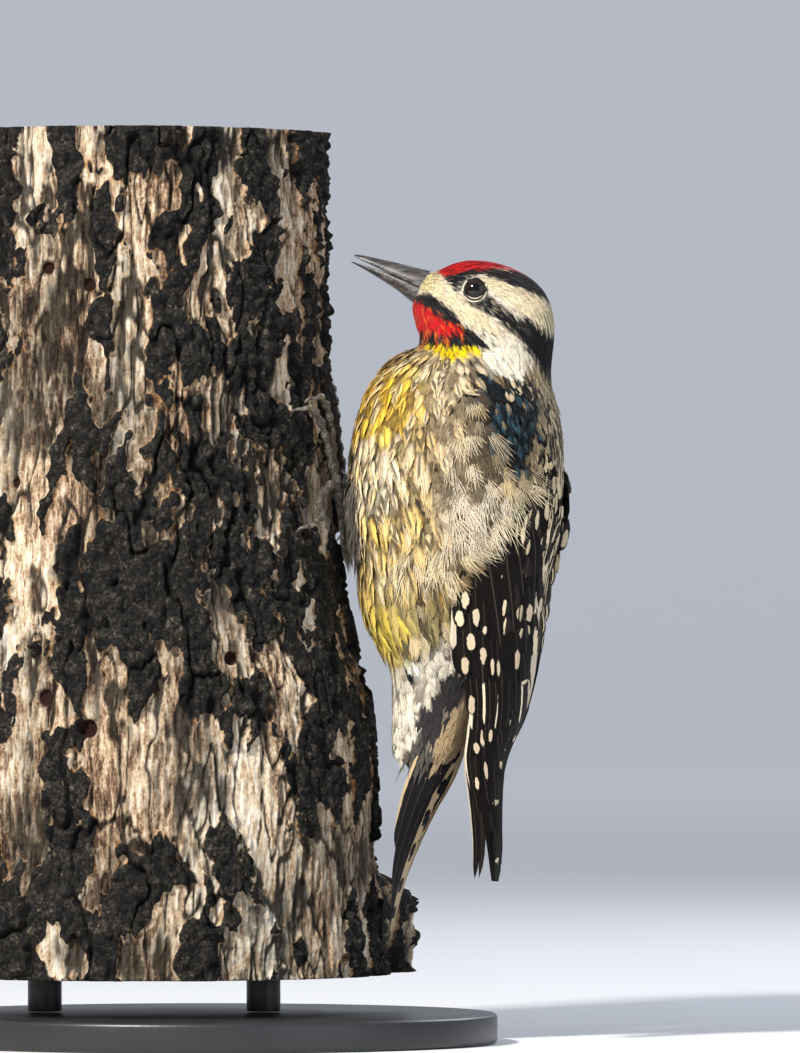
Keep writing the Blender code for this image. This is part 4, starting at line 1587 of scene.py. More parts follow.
# Each spot: its middle x, z; half its length and width.
SPOTS = (
    (69.7, 117.2, 2.2, 1), (68.2, 112.5, 2.1, 1.1), (72.5, 112.7, 2.1, 0.9),
    (74.7, 109.3, 1.1, 0.6), (71.2, 106.2, 2.3, 1.1), (74.3, 102.8, 2.2, 0.9),
    (69.7, 100.2, 2.3, 1), (76.7, 99.4, 2.4, 0.5), (78.3, 99.2, 2.4, 0.5), (71.2, 90.1, 2.6, 0.9),
    (74.2, 81.2, 2.4, 0.7), (76.2, 81.6, 1.8, 0.6), (72.6, 78.6, 1.7, 0.8), (75.4, 71.8, 2, 0.5),
    (73, 68.4, 1.6, 0.5), (86.4, 113.4, 2.6, 1.5), (89.2, 115.9, 2, 1.1), (87.7, 105.7, 4.2, 1.5),
    (83, 101.5, 3, 0.9), (79.2, 77.4, 0.8, 1.5), (78.6, 73.6, 0.8, 1.5), (77.6, 63.7, 0.8, 1.5),
    (77.9, 48.8, 1, 1.2), (85, 95.6, 0.6, 1.4), (82.2, 81, 0.7, 0.9), (85.6, 92.6, 3.6, 1.2),
)
print("rows for", len(PRIMARIES + SPIKES + SECONDARIES + TERTIALS), "feathers")

# %% [markdown]
# Each layer rests on the one before, and the right wing is the left one mirrored.

# %% Wing feathers


def wing_paths(roots, tips, layer):
    """Paths over the wing whose tips show exactly at their places."""
    ends = [(wing_place(*root), wing_place(*tip)) for root, tip in zip(roots, tips)]
    paths, normals = surface_paths(
        wing_surface, (0.4, -1, 0), ends, layer * 0.35, 0.2 + layer * 0.2)
    missed = tips - np.stack(seen_from_left(paths[:, -1]), axis=1)
    slide = np.linspace(0, 1, LONG_STEPS)[None, :, None] ** 2 * missed[:, None]
    paths[..., 0] += slide[..., 0]
    paths[..., 2] += slide[..., 1]
    return paths, normals


def lay_wing(name, shape, paths, normals, half, layers, replaced=None):
    """Lay long feathers on both wings."""
    for mirrored, side_name in ((False, "left"), (True, "right")):
        faces = skin_faces_near(paths[:, 0] * [1, -1 if mirrored else 1, 1])
        made = blades(f"{name}_{side_name}", shape, paths, normals, half,
                      np.full(len(half), 0.12), faces, layers, flight, mirrored)
        if replaced:
            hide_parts(f"{replaced}_{side_name}")


FEATHER_BROWN = colour(17, 12, 10)
WEB_WHITE, TIP_WHITE = colour(214, 200, 176), colour(236, 222, 196)
for name, shape, rows, replaced in (
    ("primaries", "flight", PRIMARIES, "primary"), ("spike_feathers", "stiff", SPIKES, None),
    ("secondaries", "flight", SECONDARIES + TERTIALS, None),
):
    rows, amount = np.array(rows), len(rows)
    half, layer, edge, tip, pale = rows[:, 4:].T
    paths, normals = wing_paths(rows[:, :2], rows[:, 2:4], layer)
    layers = {
        "tint": paint(varied(np.tile(FEATHER_BROWN, (amount, 1))), (pale, WEB_WHITE)),
        "marks": np.stack([edge, tip, 0 * tip], axis=1), "oval": np.zeros((amount, 3)),
        "oval_size": np.zeros((amount, 3)), "ink": np.tile(TIP_WHITE, (amount, 1)),
    }
    lay_wing(name, shape, paths, normals, half, layers, replaced)

# %% [markdown]
# ## Spots
# Each white oval sits on a covert of its own, whose tip ends just below it. A list of ovals
# places them where they show, and the feather grows from its spot upwards.

# %% Coverts with one spot each
spots = np.array(SPOTS)
above, below = 8, spots[:, 2] + 0.7
roots, tips = spots[:, :2] + [-0.8, above], spots[:, :2].copy()
tips[:, 1] -= below
layer = 2 + 0.012 * (spots[:, 1] - 70) - 1.1 * (spots[:, 1] < 95)
paths, normals = wing_paths(roots, tips, layer)
middle = above / (above + below)
half = spots[:, 3] * 1.15 + 0.55
layers = {
    "tint": varied(np.tile(FEATHER_BROWN, (len(spots), 1))),
    "marks": np.zeros((len(spots), 3)),
    "oval": np.stack([np.full(len(spots), 2), 0.5 - middle / 2, 0 * middle], axis=1),
    "oval_size": np.stack(
        [(above + below) / spots[:, 2], half / spots[:, 3], 1 + 0 * middle], axis=1),
    "ink": varied(np.tile(colour(218, 198, 168), (len(spots), 1)), 0.1),
}
lay_wing("coverts", "covert", paths, normals, half, layers)

# %% [markdown]
# ## Scapulars
# Short barred feathers cover the shoulder and the edge of the back, and hide where wing and
# body meet. They follow the coat's lie, but wear the finish of flight feathers.

# %% Scapular feathers
upper = smooth_step(z_all, 144, 160)
kept = evenly(is_body & (mantle >= 0.5) & (x_all > 78), high_roots, 2.5 - 1.3 * upper)
roots, normals, upper = choose((high_roots, high_normals, upper), kept)
amount = len(kept)
plan = make_plan(amount, 9.5 - 4.5 * upper, 2.1 - 1.1 * upper, 0.7, cup=0.2, twist=0.14)
rounded = smooth_step(roots[:, 0], 89, 92)
plan["half"] *= 1 - 0.45 * rounded
plan["lift"] *= 1 - 0.6 * rounded
fleck, wide = chance.random((2, amount))
cream = varied(np.tile(colour(222, 204, 170), (amount, 1)))
dark = varied(np.tile(colour(40, 34, 31), (amount, 1)))
lay_feathers(
    "scapulars", "covert", roots, normals, plan,
    paint(dark, ((fleck < 0.42 * upper) * 0.8, BUFF)), np.stack(
        [(fleck > 0.15) * 1, (fleck > 0.4) * 1, 0 * fleck], axis=1), flight,
    oval=np.stack([np.full(amount, 2), 0.5 - 0.33 + 0.04 * wide, 0.7 * wide - 0.2], axis=1),
    oval_size=np.stack([plan["length"] / 3, plan["half"] / (0.5 + 0.4 * wide),
                        (fleck < 0.6 - 0.3 * upper) * 1], axis=1),
    ink=paint(cream, (upper * 0.5, BUFF)),
)

# %% [markdown]
# ## Under the wing feathers
# The wing's own solid stays, as the dark web that shows between two feathers. It only needs
# a dark, finely streaked finish.

# %% What shows between the feathers of the wing
web, shader, start = new_material("wing_base", Roughness=0.8, Specular_IOR_Level=0.1)
grain = speckles(start, 900, 3, mapped(start, Scale=(1, 1, 0.1)))
plug(shader, Base_Color=grain.blend(rgba(7, 6, 6), rgba(26, 21, 18)),
     Normal=bumped(grain, 0.0002, 0.5))
for name in ("wing_left", "wing_right"):
    for place in nodes[name].material_slots:
        place.material = web
    print(name, "keeps its solid, with", len(nodes[name].material_slots), "material")

# %% [markdown]
# ## Tail feathers
# Ten stiff, pointed feathers make the tail, a prop that a woodpecker leans on. The middle
# pair lies on top and carries the pale barred webs; the outer ones get shorter and darker.

# %% Tail feathers
tail_ends, tail_rows = [], []
for side in (-1, 1):
    for k in range(5):
        root = (0, side * (0.14 + 0.16 * k))
        tip = (7.9 - 0.55 * k - 0.12 * k * k, side * (0.16 + 0.15 * k))
        tail_ends.append((np.array(root), np.array(tip)))
        tail_rows.append((2.7 - 0.12 * k, 0.9 - 0.2 * k, k == 0, k == 4, side))
half, layer, pale, edge, sides = np.array(tail_rows).T
paths, normals = surface_paths(
    tail_surface, (1, 0, 0.2), tail_ends, layer * 0.5, 0.1 + 0.1 * layer)
layers = {
    "tint": paint(np.tile(colour(30, 28, 30), (len(half), 1)), (pale, colour(200, 176, 140))),
    "marks": np.stack([edge, np.zeros(len(half)), pale], axis=1),
    "oval": np.stack([np.full(len(half), 0.15), 0.2 + 0 * edge, 0.5 * sides], axis=1),
    "oval_size": np.stack([np.full(len(half), 24), np.full(len(half), 2.4), pale], axis=1),
    "ink": paint(np.tile(colour(206, 182, 140), (len(half), 1)), (pale, BLACK)),
}
tail = blades("tail_feathers", "stiff", paths, normals, half, np.full(len(half), 0.1),
              skin_faces_near(paths[:, 0]), layers, flight)
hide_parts("tail")

# %% [markdown]
# ## Noise
# Bark needs lumps, plates and cracks of many sizes. A small value noise in numpy gives the
# same numbers each run, and because it is read at places in space it has no seam.

# %% Noise in space


def noise(points, cell, seed=0):
    """Smooth noise from -1 to 1, about one lump to a cell."""
    place = points / cell
    base = np.floor(place).astype(np.int64)
    share = place - base
    share = share * share * (3 - 2 * share)
    total = np.zeros(len(place))
    for corner in np.ndindex(2, 2, 2):
        x, y, z = (base + corner).T
        mixed = (x * 73856093) ^ (y * 19349663) ^ (z * 83492791) ^ (seed * 26544357)
        mixed = ((mixed ^ (mixed >> 13)) * 1274126177) & 0x7FFFFFFF
        value = ((mixed >> 8) % 65536) / 32768 - 1
        total += value * np.prod(np.where(corner, share, 1 - share), axis=1)
    return total


def layered(points, cell, octaves, seed=0):
    """Noise with finer and fainter noise on top."""
    return sum(noise(points, cell / 2 ** k, seed + k) * 0.5 ** k for k in range(octaves))


print("noise ready")

# %% [markdown]
# ## The trunk
# Old bark breaks into pale, flaky plates between raised bands of black, crumbling crust.
# A plain grid is wrapped round the trunk, closer on the side that shows, and its points are
# pushed in and out by the noise. The crust's share is kept as an attribute for the colours.

# %% The trunk's own shape
LOG_Y = 4
PITH_X = -16.5
LOG_FOOT, LOG_TOP = 18, 241
# From below: height, middle x, radius.
LOG_SECTIONS = np.array((
    (18, -13, 60.5), (46, -12.3, 60), (70, -12.6, 59.2), (91, -13.4, 58.2), (110, -15.8, 56),
    (128, -17, 54), (165, -18.6, 53.4), (213, -19.8, 53.2), (241, -20.7, 53),
))


def log_surface(degrees, height, off=0):
    """Points on the trunk, or off it, by the angle round from +X towards +Y and the height."""
    degrees, height = np.broadcast_arrays(np.asarray(degrees, float), height)
    places = np.interp(height, LOG_SECTIONS[:, 0], np.arange(len(LOG_SECTIONS)))
    _, middle, radius = np.moveaxis(spline(LOG_SECTIONS, places), -1, 0)
    swell = np.exp(-(((degrees - 20) / 7.5) ** 2))
    rise = np.clip((49 - height) / 13, 0, 1)
    radius = radius + 14 * swell * rise ** 2 * (3 - 2 * rise) + off
    angle = np.radians(degrees)
    return np.stack([middle + radius * np.cos(angle), LOG_Y + radius * np.sin(angle), height],
                    axis=-1)


print("trunk sections:", len(LOG_SECTIONS))

# %% [markdown]
# ## Relief of the bark
# Old bark is dark plates over paler, weathered wood. The height of each point is a sum of
# plates, cracks and grain; displacement could do it at render time, but real geometry also
# exports.

# %% Bark relief
# Each: x, z and the size of the hole.
WELLS = ((-41, 204, 1.9), (-29.4, 199.5, 1.9), (-41.9, 91.7, 2.3), (-29.9, 83.7, 2.6),
         (9.5, 102, 2), (-50, 148, 1.6))


def from_well(points, well):
    """How far points are from the middle of a sap well, as seen from the front."""
    return np.hypot(points[:, 0] - well[0], points[:, 2] - well[1])


def bark_relief(points):
    """How far the bark stands out, how much of it is crust, where wells are, and how deep it lies
    for painted shade.
    """
    tall = points * [1, 1, 0.36]
    warp = np.stack([layered(points, 14, 3, seed) for seed in (11, 12, 13)], axis=1)
    field = layered(tall + warp * [3, 3, 1.2], 8.5, 4, 3) + 0.06
    field += 0.3 * layered(points * [1, 1, 0.6], 2.6, 3, 23)
    for well in WELLS:
        field -= 0.9 * (1 - smooth_step(from_well(points, well), well[2], well[2] * 4.5))
    crust = smooth_step(field, -0.1, 0.16)
    crumbs = np.abs(layered(points, 3.4, 4, 31)) * 1.7 + 0.5 * layered(points, 6, 2, 37)
    ridges = layered(points * [1, 1, 0.2] + warp * 0.6, 2.6, 4, 51)
    ridges = 0.5 - np.abs(ridges) * 1.3 + 0.35 * np.abs(layered(points, 1.6, 2, 57))
    crack = 1 - smooth_step(np.abs(layered(tall + warp, 8, 3, 71)), 0, 0.14)
    split = 1 - smooth_step(np.abs(layered(tall * [1, 1, 0.4], 5, 3, 77)), 0, 0.09)
    out = crust * (crumbs * 1.3 - 0.1) + (1 - crust) * (-1.3 + ridges * 0.9)
    out -= crack * (0.6 + 1.8 * crust) + split * (1 - crust) * 1.1
    out += 1.1 * layered(points, 24, 2, 91) - 0.9
    wells = np.zeros(len(points))
    for well in WELLS:
        away = from_well(points, well) / well[2]
        wells = np.maximum(wells, (1 - smooth_step(away, 0.75, 1.15)) * (points[:, 1] < 0))
    # How deep each point lies in cracks and hollows, kept for painted shade.
    deep = np.clip(np.maximum(crack, split * (1 - crust)) + smooth_step(-out, 1.6, 3.2), 0, 1)
    return out * (1 - wells) - 4.5 * wells, crust, wells, deep


def near_the_bird(degrees, height):
    """1 where the bird's breast, toes and tail come close to the bark."""
    round_share = 1 - smooth_step(np.abs(degrees + 3), 40, 52)
    return round_share * smooth_step(height, 20, 30) * (1 - smooth_step(height, 178, 190))


print("sap wells:", len(WELLS))

# %% [markdown]
# ## Three wedges
# Such fine bark needs many points, so the trunk is cut into three wedges that share their
# seam points. Each is a grid bent round the trunk, closed over the sawn ends.

# %% Bark in three wedges
ROWS, END_ROWS = 392, 12
COLUMNS = 240
WEDGES = (("bark_front", -180, -90), ("bark_side", -90, 0), ("bark_back", 0, 180))


def sharpen_seams(bm, angles):
    """Keep the shading of a wedge's outside apart from that of its hidden inner faces."""
    on_seam = []
    for vertex in bm.verts:
        x, y = vertex.co.x - PITH_X * MM, vertex.co.y - LOG_Y * MM
        turn = math.degrees(math.atan2(y, x))
        away = min(abs((turn - angle + 180) % 360 - 180) for angle in angles)
        on_seam.append(away < 0.05 or math.hypot(x, y) < 1e-5)
    bm.verts.index_update()
    for face in bm.faces:
        face.smooth = True
    for edge in bm.edges:
        edge.smooth = not all(on_seam[vertex.index] for vertex in edge.verts)


def bark_wedge(name, first, last):
    """A closed wedge of the trunk from one angle to another, with its bark in relief."""
    bm = bmesh.new()
    bmesh.ops.create_grid(bm, x_segments=COLUMNS + 2, y_segments=ROWS, size=1)
    mesh = mesh_of(bm, name)
    u, v, _ = rows_of(mesh).astype(float).T
    column = np.round((u + 1) / 2 * (COLUMNS + 2)) - 1
    degrees = first + (last - first) * np.clip(column / COLUMNS, 0, 1)
    row = (v + 1) / 2 * ROWS
    share = np.clip((row - END_ROWS) / (ROWS - 2 * END_ROWS), 0, 1)
    height = LOG_FOOT + (LOG_TOP - LOG_FOOT) * share
    share = np.clip(np.minimum(row, ROWS - row) / END_ROWS, 0, 1) ** 1.2
    relief, crust, wells, deep = bark_relief(log_surface(degrees, height))
    close = near_the_bird(degrees, height)
    low = 0.35
    relief = np.where(relief > low, low + (relief - low) * (1 - close), relief)
    relief = np.minimum(relief, 2.6)
    points = log_surface(degrees, height, relief)
    axis = np.stack([0 * height + PITH_X, 0 * height + LOG_Y, height], axis=1)
    inside = (column < 0) | (column > COLUMNS)
    points = axis + (points - axis) * np.where(inside, 0, share)[:, None]
    sawn = (share < 0.999) * 1
    saw = 0.12 * layered(points * [0.3, 2, 0], 1.6, 2, 5) - 0.25
    points[:, 2] += sawn * np.where(height > 120, saw, -saw)
    points[inside, 2] = np.clip(height[inside], LOG_FOOT + 0.7, LOG_TOP - 0.7)
    set_rows(mesh, points)
    set_point_colours(mesh, "bark", np.stack([crust, wells, sawn], axis=1))
    # The depth is kept for painted shade in cracks and hollows.
    set_point_colours(mesh, "deep", np.repeat(deep[:, None], 3, axis=1))
    weld = bmesh.new()
    weld.from_mesh(mesh)
    bmesh.ops.remove_doubles(weld, verts=weld.verts, dist=2e-6)
    bmesh.ops.recalc_face_normals(weld, faces=weld.faces)
    sharpen_seams(weld, (first, last))
    weld.to_mesh(mesh)
    weld.free()
    print(name, "stands out", relief.min().round(2), "to", relief.max().round(2), "mm")
    return mesh


print("wedges to make:", len(WEDGES))

# %% [markdown]
# ## The finish of bark and sawn wood
# The relief decides the colour: raised plates are charcoal and rough, hollows are pale wood
# with a grain, and cracks and the deepest hollows are darkened with painted shade. The sawn
# ends show rings, drawn by the distance from the pith.

# %% Bark material
bark_material, bark_shader, start = new_material(
    "bark", Roughness=0.92, Specular_IOR_Level=0.25)
crust_share, well_share, sawn_share = parts_of(
    attribute(start, "bark"), "ShaderNodeSeparateColor")
long_grain = mapped(start, Scale=(1, 1, 0.22))
fine = speckles(start, 1100, 6, Roughness=0.7)
lumps = speckles(start, 330, 4, Roughness=0.6)
streaks = speckles(start, 700, 7, long_grain, Roughness=0.72)
broad = speckles(start, 60, 3, long_grain)
edge = crust_share + (fine - 0.5) * 1.1 + (streaks - 0.5) * 0.7
crusty = edge.step(0.42, 0.56)
pale = streaks * 0.75 + fine * 0.25 + (broad - 0.5) * 0.35
plate = pale.make("ShaderNodeValToRGB", {"stops": (
    (0.34, colour(40, 30, 26)), (0.42, colour(128, 100, 78)), (0.49, colour(198, 172, 140)),
    (0.56, colour(228, 214, 190)), (0.66, colour(248, 242, 230)),
)}, {"Fac": pale})
golden = edge.step(0.14, 0.42) * lumps.step(0.4, 0.6) * 0.75
plate = golden.blend(plate, rgba(168, 118, 60))
grit = fine * 0.6 + lumps * 0.4
black = grit.make("ShaderNodeValToRGB", {"stops": (
    (0.4, colour(5, 5, 6)), (0.5, colour(24, 23, 22)), (0.58, colour(58, 54, 47)),
    (0.68, colour(126, 116, 98)),
)}, {"Fac": grit})
# Painted shade: cracks and deep hollows are darkened almost to black.
tone = (attribute(start, "deep", 2) * 0.92).blend(crusty.blend(plate, black), rgba(7, 6, 6))
tone = well_share.step(0.3, 0.8).blend(tone, rgba(40, 18, 12))
pith = mapped(start, Location=(-PITH_X * MM, -LOG_Y * MM, 0))
rings = start.make("ShaderNodeTexWave", {"wave_type": "RINGS", "rings_direction": "Z"}, {
    "Vector": pith, "Scale": 130, "Distortion": 2.2, "Detail": 3, "Detail Scale": 0.6}, 1)
wood = rings.blend(rgba(196, 164, 120), rgba(226, 200, 158))
rough = fine * 0.8 + lumps * 0.7 + streaks * (1 - crusty) * 0.9
plug(bark_shader, Base_Color=sawn_share.step(0.4, 0.9).blend(tone, wood),
     Normal=bumped(rough, 0.0009))
for wedge in WEDGES:
    finish_piece(wedge[0], bark_wedge(*wedge), bark_material, ("perch_log",))

# %% [markdown]
# ## The stand
# A turned disc and two rods hold the trunk. The disc is a cone shape with a bevelled rim,
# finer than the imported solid, in satin black paint with a faint orange-peel texture.

# %% Stand
paint_material, paint_shader, start = new_material("stand_paint", Roughness=0.38)
dust = speckles(start, 40, 4)
plug(paint_shader, Base_Color=dust.blend(rgba(30, 31, 33), rgba(44, 45, 48)),
     Roughness=dust * 0.14 + 0.3, Normal=bumped(speckles(start, 600, 2), 0.00015, 0.35))


def turned(name, low, high, edge, segments):
    """A round bar or disc that fills a node's box, with rounded edges."""
    size = high - low
    bm = bmesh.new()
    bmesh.ops.create_cone(bm, cap_ends=True, segments=segments, radius1=size.x / 2,
                          radius2=size.x / 2, depth=size.z)
    rims = [e for e in bm.edges if len(e.link_faces) == 2 and abs(
        e.link_faces[0].normal.z - e.link_faces[1].normal.z) > 0.5]
    bmesh.ops.bevel(bm, geom=rims, offset=edge, segments=4, profile=0.5, affect="EDGES",
                    material=-1)
    bmesh.ops.translate(bm, vec=(low + high) / 2, verts=bm.verts)
    bmesh.ops.recalc_face_normals(bm, faces=bm.faces)
    mesh = mesh_of(bm, name)
    mesh.set_sharp_from_angle(angle=math.radians(40))
    return mesh


for name, label, edge, segments in (
    ("stand_base", "stand_disc", 0.0012, 128), ("stand_rod_front", "stand_post_front", 0.0004, 40),
    ("stand_rod_rear", "stand_post_rear", 0.0004, 40),
):
    low, high = (Vector(corner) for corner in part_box(name))
    mesh = turned(label, low, high, edge, segments)
    finish_piece(label, mesh, paint_material, (name,))

# %% [markdown]
# ## Bill
# The bill is two long wedges of horn. Each is bridged through a few smooth sections: an arch
# over its cutting edges, ridged along the top. Pale grey streaks run along it: fine growth
# lines that also serve as painted highlights.

# %% Bill material and sections
horn, horn_shader, start = new_material("bill_horn", Roughness=0.34)
along_bill = mapped(start, Rotation=(0, math.radians(22), 0), Scale=(0.12, 1, 1))
lines = speckles(start, 1500, 4, along_bill)
blotch = speckles(start, 260, 4)
# Pale grey streaks: growth lines and painted highlights along the horn.
tone = lines.step(0.3, 0.75).blend(rgba(24, 23, 24), rgba(104, 102, 102))
tone = (blotch.step(0.5, 0.75) * 0.6).blend(tone, rgba(84, 64, 54))
plug(horn_shader, Base_Color=tone, Roughness=blotch * 0.25 + 0.24,
     Normal=bumped(lines, 0.0002, 0.5))

# Each row: ridge x, z; cutting edge x, z; half width.
BILL_SECTIONS = {
    "bill_upper": np.array((
        (60.2, 204.2, 58.2, 200, 3.5), (58, 204.7, 56.2, 200.8, 3.4),
        (54.5, 205.6, 53, 202.3, 3), (50.3, 206.7, 48.9, 204.2, 2.35),
        (46, 207.7, 45, 206, 1.7), (42.3, 208.5, 41.9, 207.4, 1),
        (40.1, 208.8, 40.1, 208.4, 0.45),
    )),
    "bill_lower": np.array((
        (57, 195.2, 58.6, 199.5, 3.4), (54.4, 197.1, 56.2, 200.3, 3.2),
        (51.6, 199.3, 52.8, 201.9, 2.8), (47.6, 201.9, 48.6, 203.7, 2.1),
        (44, 204.1, 44.6, 205.2, 1.4), (41, 205.8, 41.3, 206.3, 0.8),
        (39.2, 206.75, 39.3, 206.95, 0.35),
    )),
}
print("bill sections:", [len(rows) for rows in BILL_SECTIONS.values()])

# %% [markdown]
# A bridge between rings keeps the horn smooth and closed.

# %% Horn of the bill


def bridged(rings):
    """A closed tube through rings of points in millimetres, with both ends filled."""
    bm = bmesh.new()
    before, first = None, None
    for ring in rings:
        made = bmesh.ops.create_circle(bm, segments=len(ring), radius=1)["verts"]
        for vertex, place in zip(made, ring):
            vertex.co = Vector(place) * MM
        edges = list({edge for vertex in made for edge in vertex.link_edges})
        if before:
            bmesh.ops.bridge_loops(bm, edges=before + edges)
        else:
            first = made
        before = edges
    bm.faces.new(first)
    bm.faces.new(made)
    bmesh.ops.recalc_face_normals(bm, faces=bm.faces)
    return mesh_of(bm, "bridged")


def bill_half(sections):
    """One half of the bill: an arch over its cutting edges, ridged along the top."""
    rings = []
    around = np.linspace(0, 2 * np.pi, 32, endpoint=False)
    for row in spline(sections, np.linspace(0, len(sections) - 1, 49)):
        edge, ridge = np.array([row[2], 0, row[3]]), np.array([row[0], 0, row[1]])
        up = np.maximum(np.sin(around), 0) ** 0.8
        up = up * (1 + 0.05 * np.exp(-(((around - np.pi / 2) / 0.22) ** 2)))
        up = up - 0.1 * np.maximum(-np.sin(around), 0)
        wide = np.sign(np.cos(around)) * np.abs(np.cos(around)) ** 1.1
        ring = edge + (ridge - edge) * up[:, None] + np.outer(wide, (0, row[4], 0))
        rings.append(to_world(ring))
    return bridged(rings)


for name, sections in BILL_SECTIONS.items():
    mesh = bill_half(sections)
    print(name, len(mesh.polygons), "faces")
    finish_piece(f"{name}_horn", mesh, horn, (name,))

# %% [markdown]
# ## Eyes
# A bird's eye looks black at first and is a dark brown iris round a large pupil under a
# wet, clear surface. The ball is a fine sphere; iris and pupil are drawn by the distance
# from its axis, kept as an attribute, and a clear coat gives the wet glint.

# %% Eyes
eye_material, eye_shader, start = new_material(
    "eye", Roughness=0.12, Coat_Weight=0.6, Specular_IOR_Level=0.15, Coat_Roughness=0.02)
out = attribute(start, "from_axis", 2)
iris = (speckles(start, 2200, 3) * 0.6 + out * 0.5).blend(rgba(16, 9, 8), rgba(46, 28, 24))
tone = out.step(0.5, 0.56).blend(rgba(4, 4, 5), iris)
plug(eye_shader, Base_Color=out.step(0.76, 0.86).blend(tone, rgba(8, 6, 6)))
lid_material, lid_shader, start = new_material("lid", Roughness=0.7)
grain = speckles(start, 900, 3)
broken = grain.step(0.42, 0.56).blend(rgba(40, 36, 33), rgba(226, 214, 184))
plug(lid_shader, Base_Color=attribute(start, "pale", 2).blend(rgba(22, 20, 20), broken),
     Normal=bumped(grain, 0.0002, 0.8))
print("eye materials ready")

# %% [markdown]
# ## Balls and lids
# Each eye is a flattened ball, set so that its front bulges just out of the lid. Two thin
# rings of skin are laid on the head round it: a dark lid, and a pale, broken eye ring.

# %% Eyeballs and lids


def ring_round_eye(middle, radius, thick, lift, side):
    """A ring of skin round the eye, each part of it resting on the head."""
    turns = np.linspace(0, 2 * np.pi, 72, endpoint=False)
    way = np.stack([np.cos(turns), 0 * turns, np.sin(turns)], axis=1)
    path = middle + way * radius
    path[:, 1] = np.abs(path[:, 1]) * side
    out = np.tile([0, side, 0], (len(path), 1))
    path = rest_on(path, out, np.full(len(path), lift))
    level = path[:, 1].mean()
    path[:, 1] = level + (path[:, 1] - level) * 0.85
    rings = []
    for k, point in enumerate(path):
        swell = thick * (1 + 0.22 * math.sin(17 * turns[k]) * math.sin(5 * turns[k]))
        turn = np.linspace(0, 2 * np.pi, 10, endpoint=False)[:, None]
        ring = point + (way[k] * np.cos(turn) + out[k] * np.sin(turn)) * swell
        rings.append(to_world(ring))
    return bridged(np.array([*rings, rings[0]])), level


EYE_SIZE, EYE_DEPTH = 3.3, 2.8
for side, side_name in ((-1, "left"), (1, "right")):
    middle = np.array((EYE_X, 9.5 * side, EYE_Z))
    lid, rim = ring_round_eye(middle, 2.72, 0.26, 0.42, side)
    outer, _ = ring_round_eye(middle, 3.14, 0.17, 0.42, side)
    middle[1] = rim - side * EYE_DEPTH * (1 - (2.6 / EYE_SIZE) ** 2) ** 0.5
    print(side_name, "eye:", middle.round(2), "rim at", round(rim, 2))
    bm = bmesh.new()
    bmesh.ops.create_uvsphere(bm, u_segments=48, v_segments=32, radius=1)
    bmesh.ops.rotate(bm, matrix=Matrix.Rotation(math.pi / 2, 3, "X"), verts=bm.verts)
    mesh = mesh_of(bm, "eye")
    ball = rows_of(mesh).astype(float)
    from_axis = np.hypot(ball[:, 0], ball[:, 2])
    set_rows(mesh, to_world(middle + ball * [EYE_SIZE, EYE_DEPTH, EYE_SIZE]))
    set_point_colours(mesh, "from_axis", np.repeat(from_axis[:, None], 3, axis=1))
    finish_piece(f"eyeball_{side_name}", mesh, eye_material, (f"eye_{side_name}",))
    for label, mesh, pale in (("lid", lid, 0), ("eye_ring", outer, 1)):
        set_point_colours(mesh, "pale", np.full((len(mesh.vertices), 3), pale))
        finish_piece(f"{label}_{side_name}", mesh, lid_material)

# %% [markdown]
# ## Feet
# A woodpecker grips with two toes forward and two back. Each toe is a tube with a step at
# every scale, drawn through points on the bark, and ends in a curved, dark claw.

# %% Foot materials
foot_material, foot_shader, start = new_material("foot_skin", Roughness=0.55)
cells = start.make("ShaderNodeTexVoronoi", None, {
    "Vector": start.make("ShaderNodeTexCoord", output=3), "Scale": 1500})
tone = (cells * 0.6 + speckles(start, 500, 3) * 0.9 - 0.2).step(0.1, 0.9)
plug(foot_shader, Base_Color=tone.blend(rgba(20, 18, 17), rgba(104, 97, 88)),
     Normal=bumped(cells, 0.0005))
claw_material, claw_shader, start = new_material("claw", Roughness=0.3)
lines = speckles(start, 900, 3)
tone = lines.step(0.3, 0.7).blend(rgba(24, 22, 21), rgba(132, 124, 112))
plug(claw_shader, Base_Color=tone, Normal=bumped(lines, 0.0001, 0.5))
print("foot materials ready")

# %% [markdown]
# ## Toes, claws and thighs
# Places on the bark are given by angle and height, so toes and claws touch it exactly.

# %% Places and tubes
# Places on the bark: the angle round the trunk and the height.
ANKLE, HEEL = (-17, 149), (-15, 131)
THIGH_FEATHERS = 260
TOES = {
    "outer_front": ((-19, 154), (-22, 160.5), (-26, 165.5), (-32, 168), (-38, 167)),
    "inner_front": ((-16, 155), (-17, 162.5), (-20, 168), (-25, 171), (-31, 170)),
    "outer_rear": ((-22, 147), (-28, 144), (-27, 139.5), (-32, 137.5), (-38, 136)),
    "inner_rear": ((-15, 145), (-12, 141.5), (-10, 138.5), (-10, 136), (-13, 134)),
}


def tube_through(points, radii, steps, scales=0, sides=14):
    """A round tube through points, thinner or thicker along its way, stepped by its scales."""
    rows = np.column_stack([points, radii])
    rows = spline(rows, np.linspace(0, len(rows) - 1, steps))
    run = unit(np.gradient(rows[:, :3], axis=0))
    side = unit(np.cross(run, (0.35, 0.2, 0.9)))
    up = np.cross(side, run)
    gone = np.concatenate([[0], np.cumsum(np.linalg.norm(np.diff(rows[:, :3], axis=0), axis=1))])
    knuckles = 1 + 1.2 * scales * np.cos(gone * 2 * np.pi / 4.2)
    radius = rows[:, 3] * knuckles * (1 + scales * ((gone / 0.85) % 1 - 0.5))
    turns = np.linspace(0, 2 * np.pi, sides, endpoint=False)
    around = side[:, None] * np.cos(turns)[:, None] + up[:, None] * np.sin(turns)[:, None]
    return bridged(rows[:, None, :3] + around * radius[:, None, None])


print("toe tubes ready")

# %% [markdown]
# Two toes reach up and two down on each foot. Short grey feathers hang over the thigh and hide
# where the leg leaves the body.

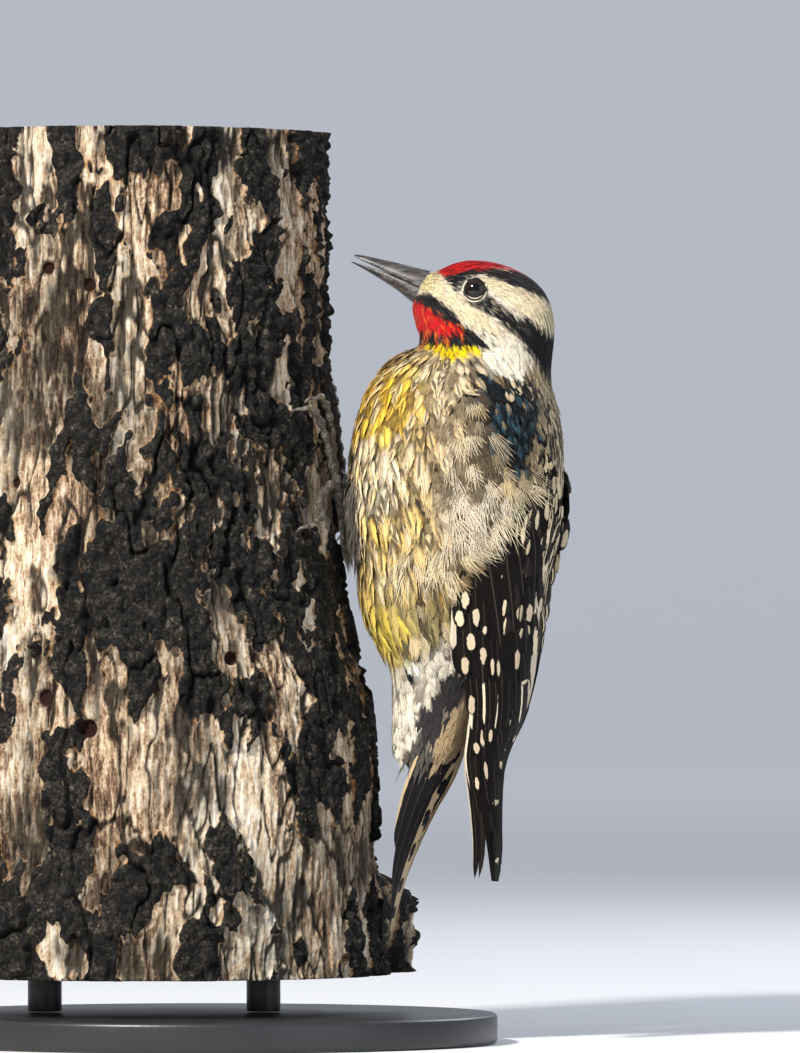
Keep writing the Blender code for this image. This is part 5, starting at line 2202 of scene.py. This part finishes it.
# %% Feet
for side_name, side, raised in (("left", 1, 0), ("right", -1, 5)):
    def on_bark(degrees, height, off):
        return log_surface(degrees if side > 0 else -6 - degrees, height + raised, off)

    ankle, heel = on_bark(*ANKLE, 2), on_bark(*HEEL, 3.4)
    low, high = (np.array(corner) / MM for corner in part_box(f"leg_{side_name}"))
    hip = np.array([high[0] + 2, (low[1] + high[1]) / 2, high[2] + 3])
    toes = [tube_through(np.array([ankle, (ankle + heel) / 2, heel, hip]),
                         (1.4, 0.95, 1.1, 1.4), 60, 0.14)]
    claws = []
    for steps in TOES.values():
        toe = np.array([ankle, *(on_bark(*step, 1.5) for step in steps[:4])])
        toe[-1] = toe[-2] + (toe[-1] - toe[-2]) * 0.7
        toes.append(tube_through(toe, (1.3, 1.05, 0.95, 0.95, 0.75), 60, 0.22))
        (a0, h0), (a1, h1) = steps[3], steps[4]
        start_at = toe[-1] * 0.85 + toe[-2] * 0.15
        claw = np.array([
            start_at, on_bark(a0 * 0.9 + a1 * 0.1, h0 * 0.9 + h1 * 0.1, 2.6),
            on_bark(a0 * 0.45 + a1 * 0.55, h0 * 0.45 + h1 * 0.55, 2.4),
            on_bark(a1, h1, 1.1), on_bark(a1 * 1.04 - a0 * 0.04, h1 - 1.6, -0.2),
        ])
        claws.append(tube_through(claw, (0.7, 0.74, 0.6, 0.34, 0.04), 30, 0, 12))
    finish_piece(f"toes_{side_name}", joined(toes, "toes"), foot_material,
                 (f"foot_{side_name}",))
    finish_piece(f"claws_{side_name}", joined(claws, "claws"), claw_material)
    t, turn, reach = chance.random((3, THIGH_FEATHERS))
    root = np.stack(
        [hip[0] - 4 + 0 * t, hip[1] + 9 * (turn - 0.5), hip[2] - 3 + 17 * t], axis=1)
    root = np.array([skin_tree.find_nearest(place)[0] for place in root])
    way = unit(np.stack([-0.16 - 0.2 * reach, 0.3 * (turn - 0.5), -1 + 0 * t], axis=1))
    length = 6.5 + 4 * reach
    run = np.linspace(0, 1, PATH_POINTS)[None, :, None]
    path = root[:, None] + way[:, None] * length[:, None, None] * run
    path[..., 0] -= (0.8 + 1.4 * turn[:, None]) * np.sin(np.pi * run[..., 0])
    out = unit(np.stack([-1 + 0 * t, 0.9 * (turn - 0.5), 0.1 + 0 * t], axis=1))
    tints = varied(np.tile(GREY, (THIGH_FEATHERS, 1)), 0.25)
    tints = paint(tints, ((reach < 0.35) * 0.8, PALE))
    path = to_bird(path.reshape(-1, 3)).reshape(path.shape)
    blades(f"thigh_feathers_{side_name}", "fluffy", path,
           np.repeat((out @ TURN)[:, None], PATH_POINTS, axis=1), 1.3 + 0.5 * turn,
           0.2 + 0 * t, skin_faces_near(to_bird(root)),
           {"tint": tints, "marks": np.zeros((THIGH_FEATHERS, 3))}, plumage)
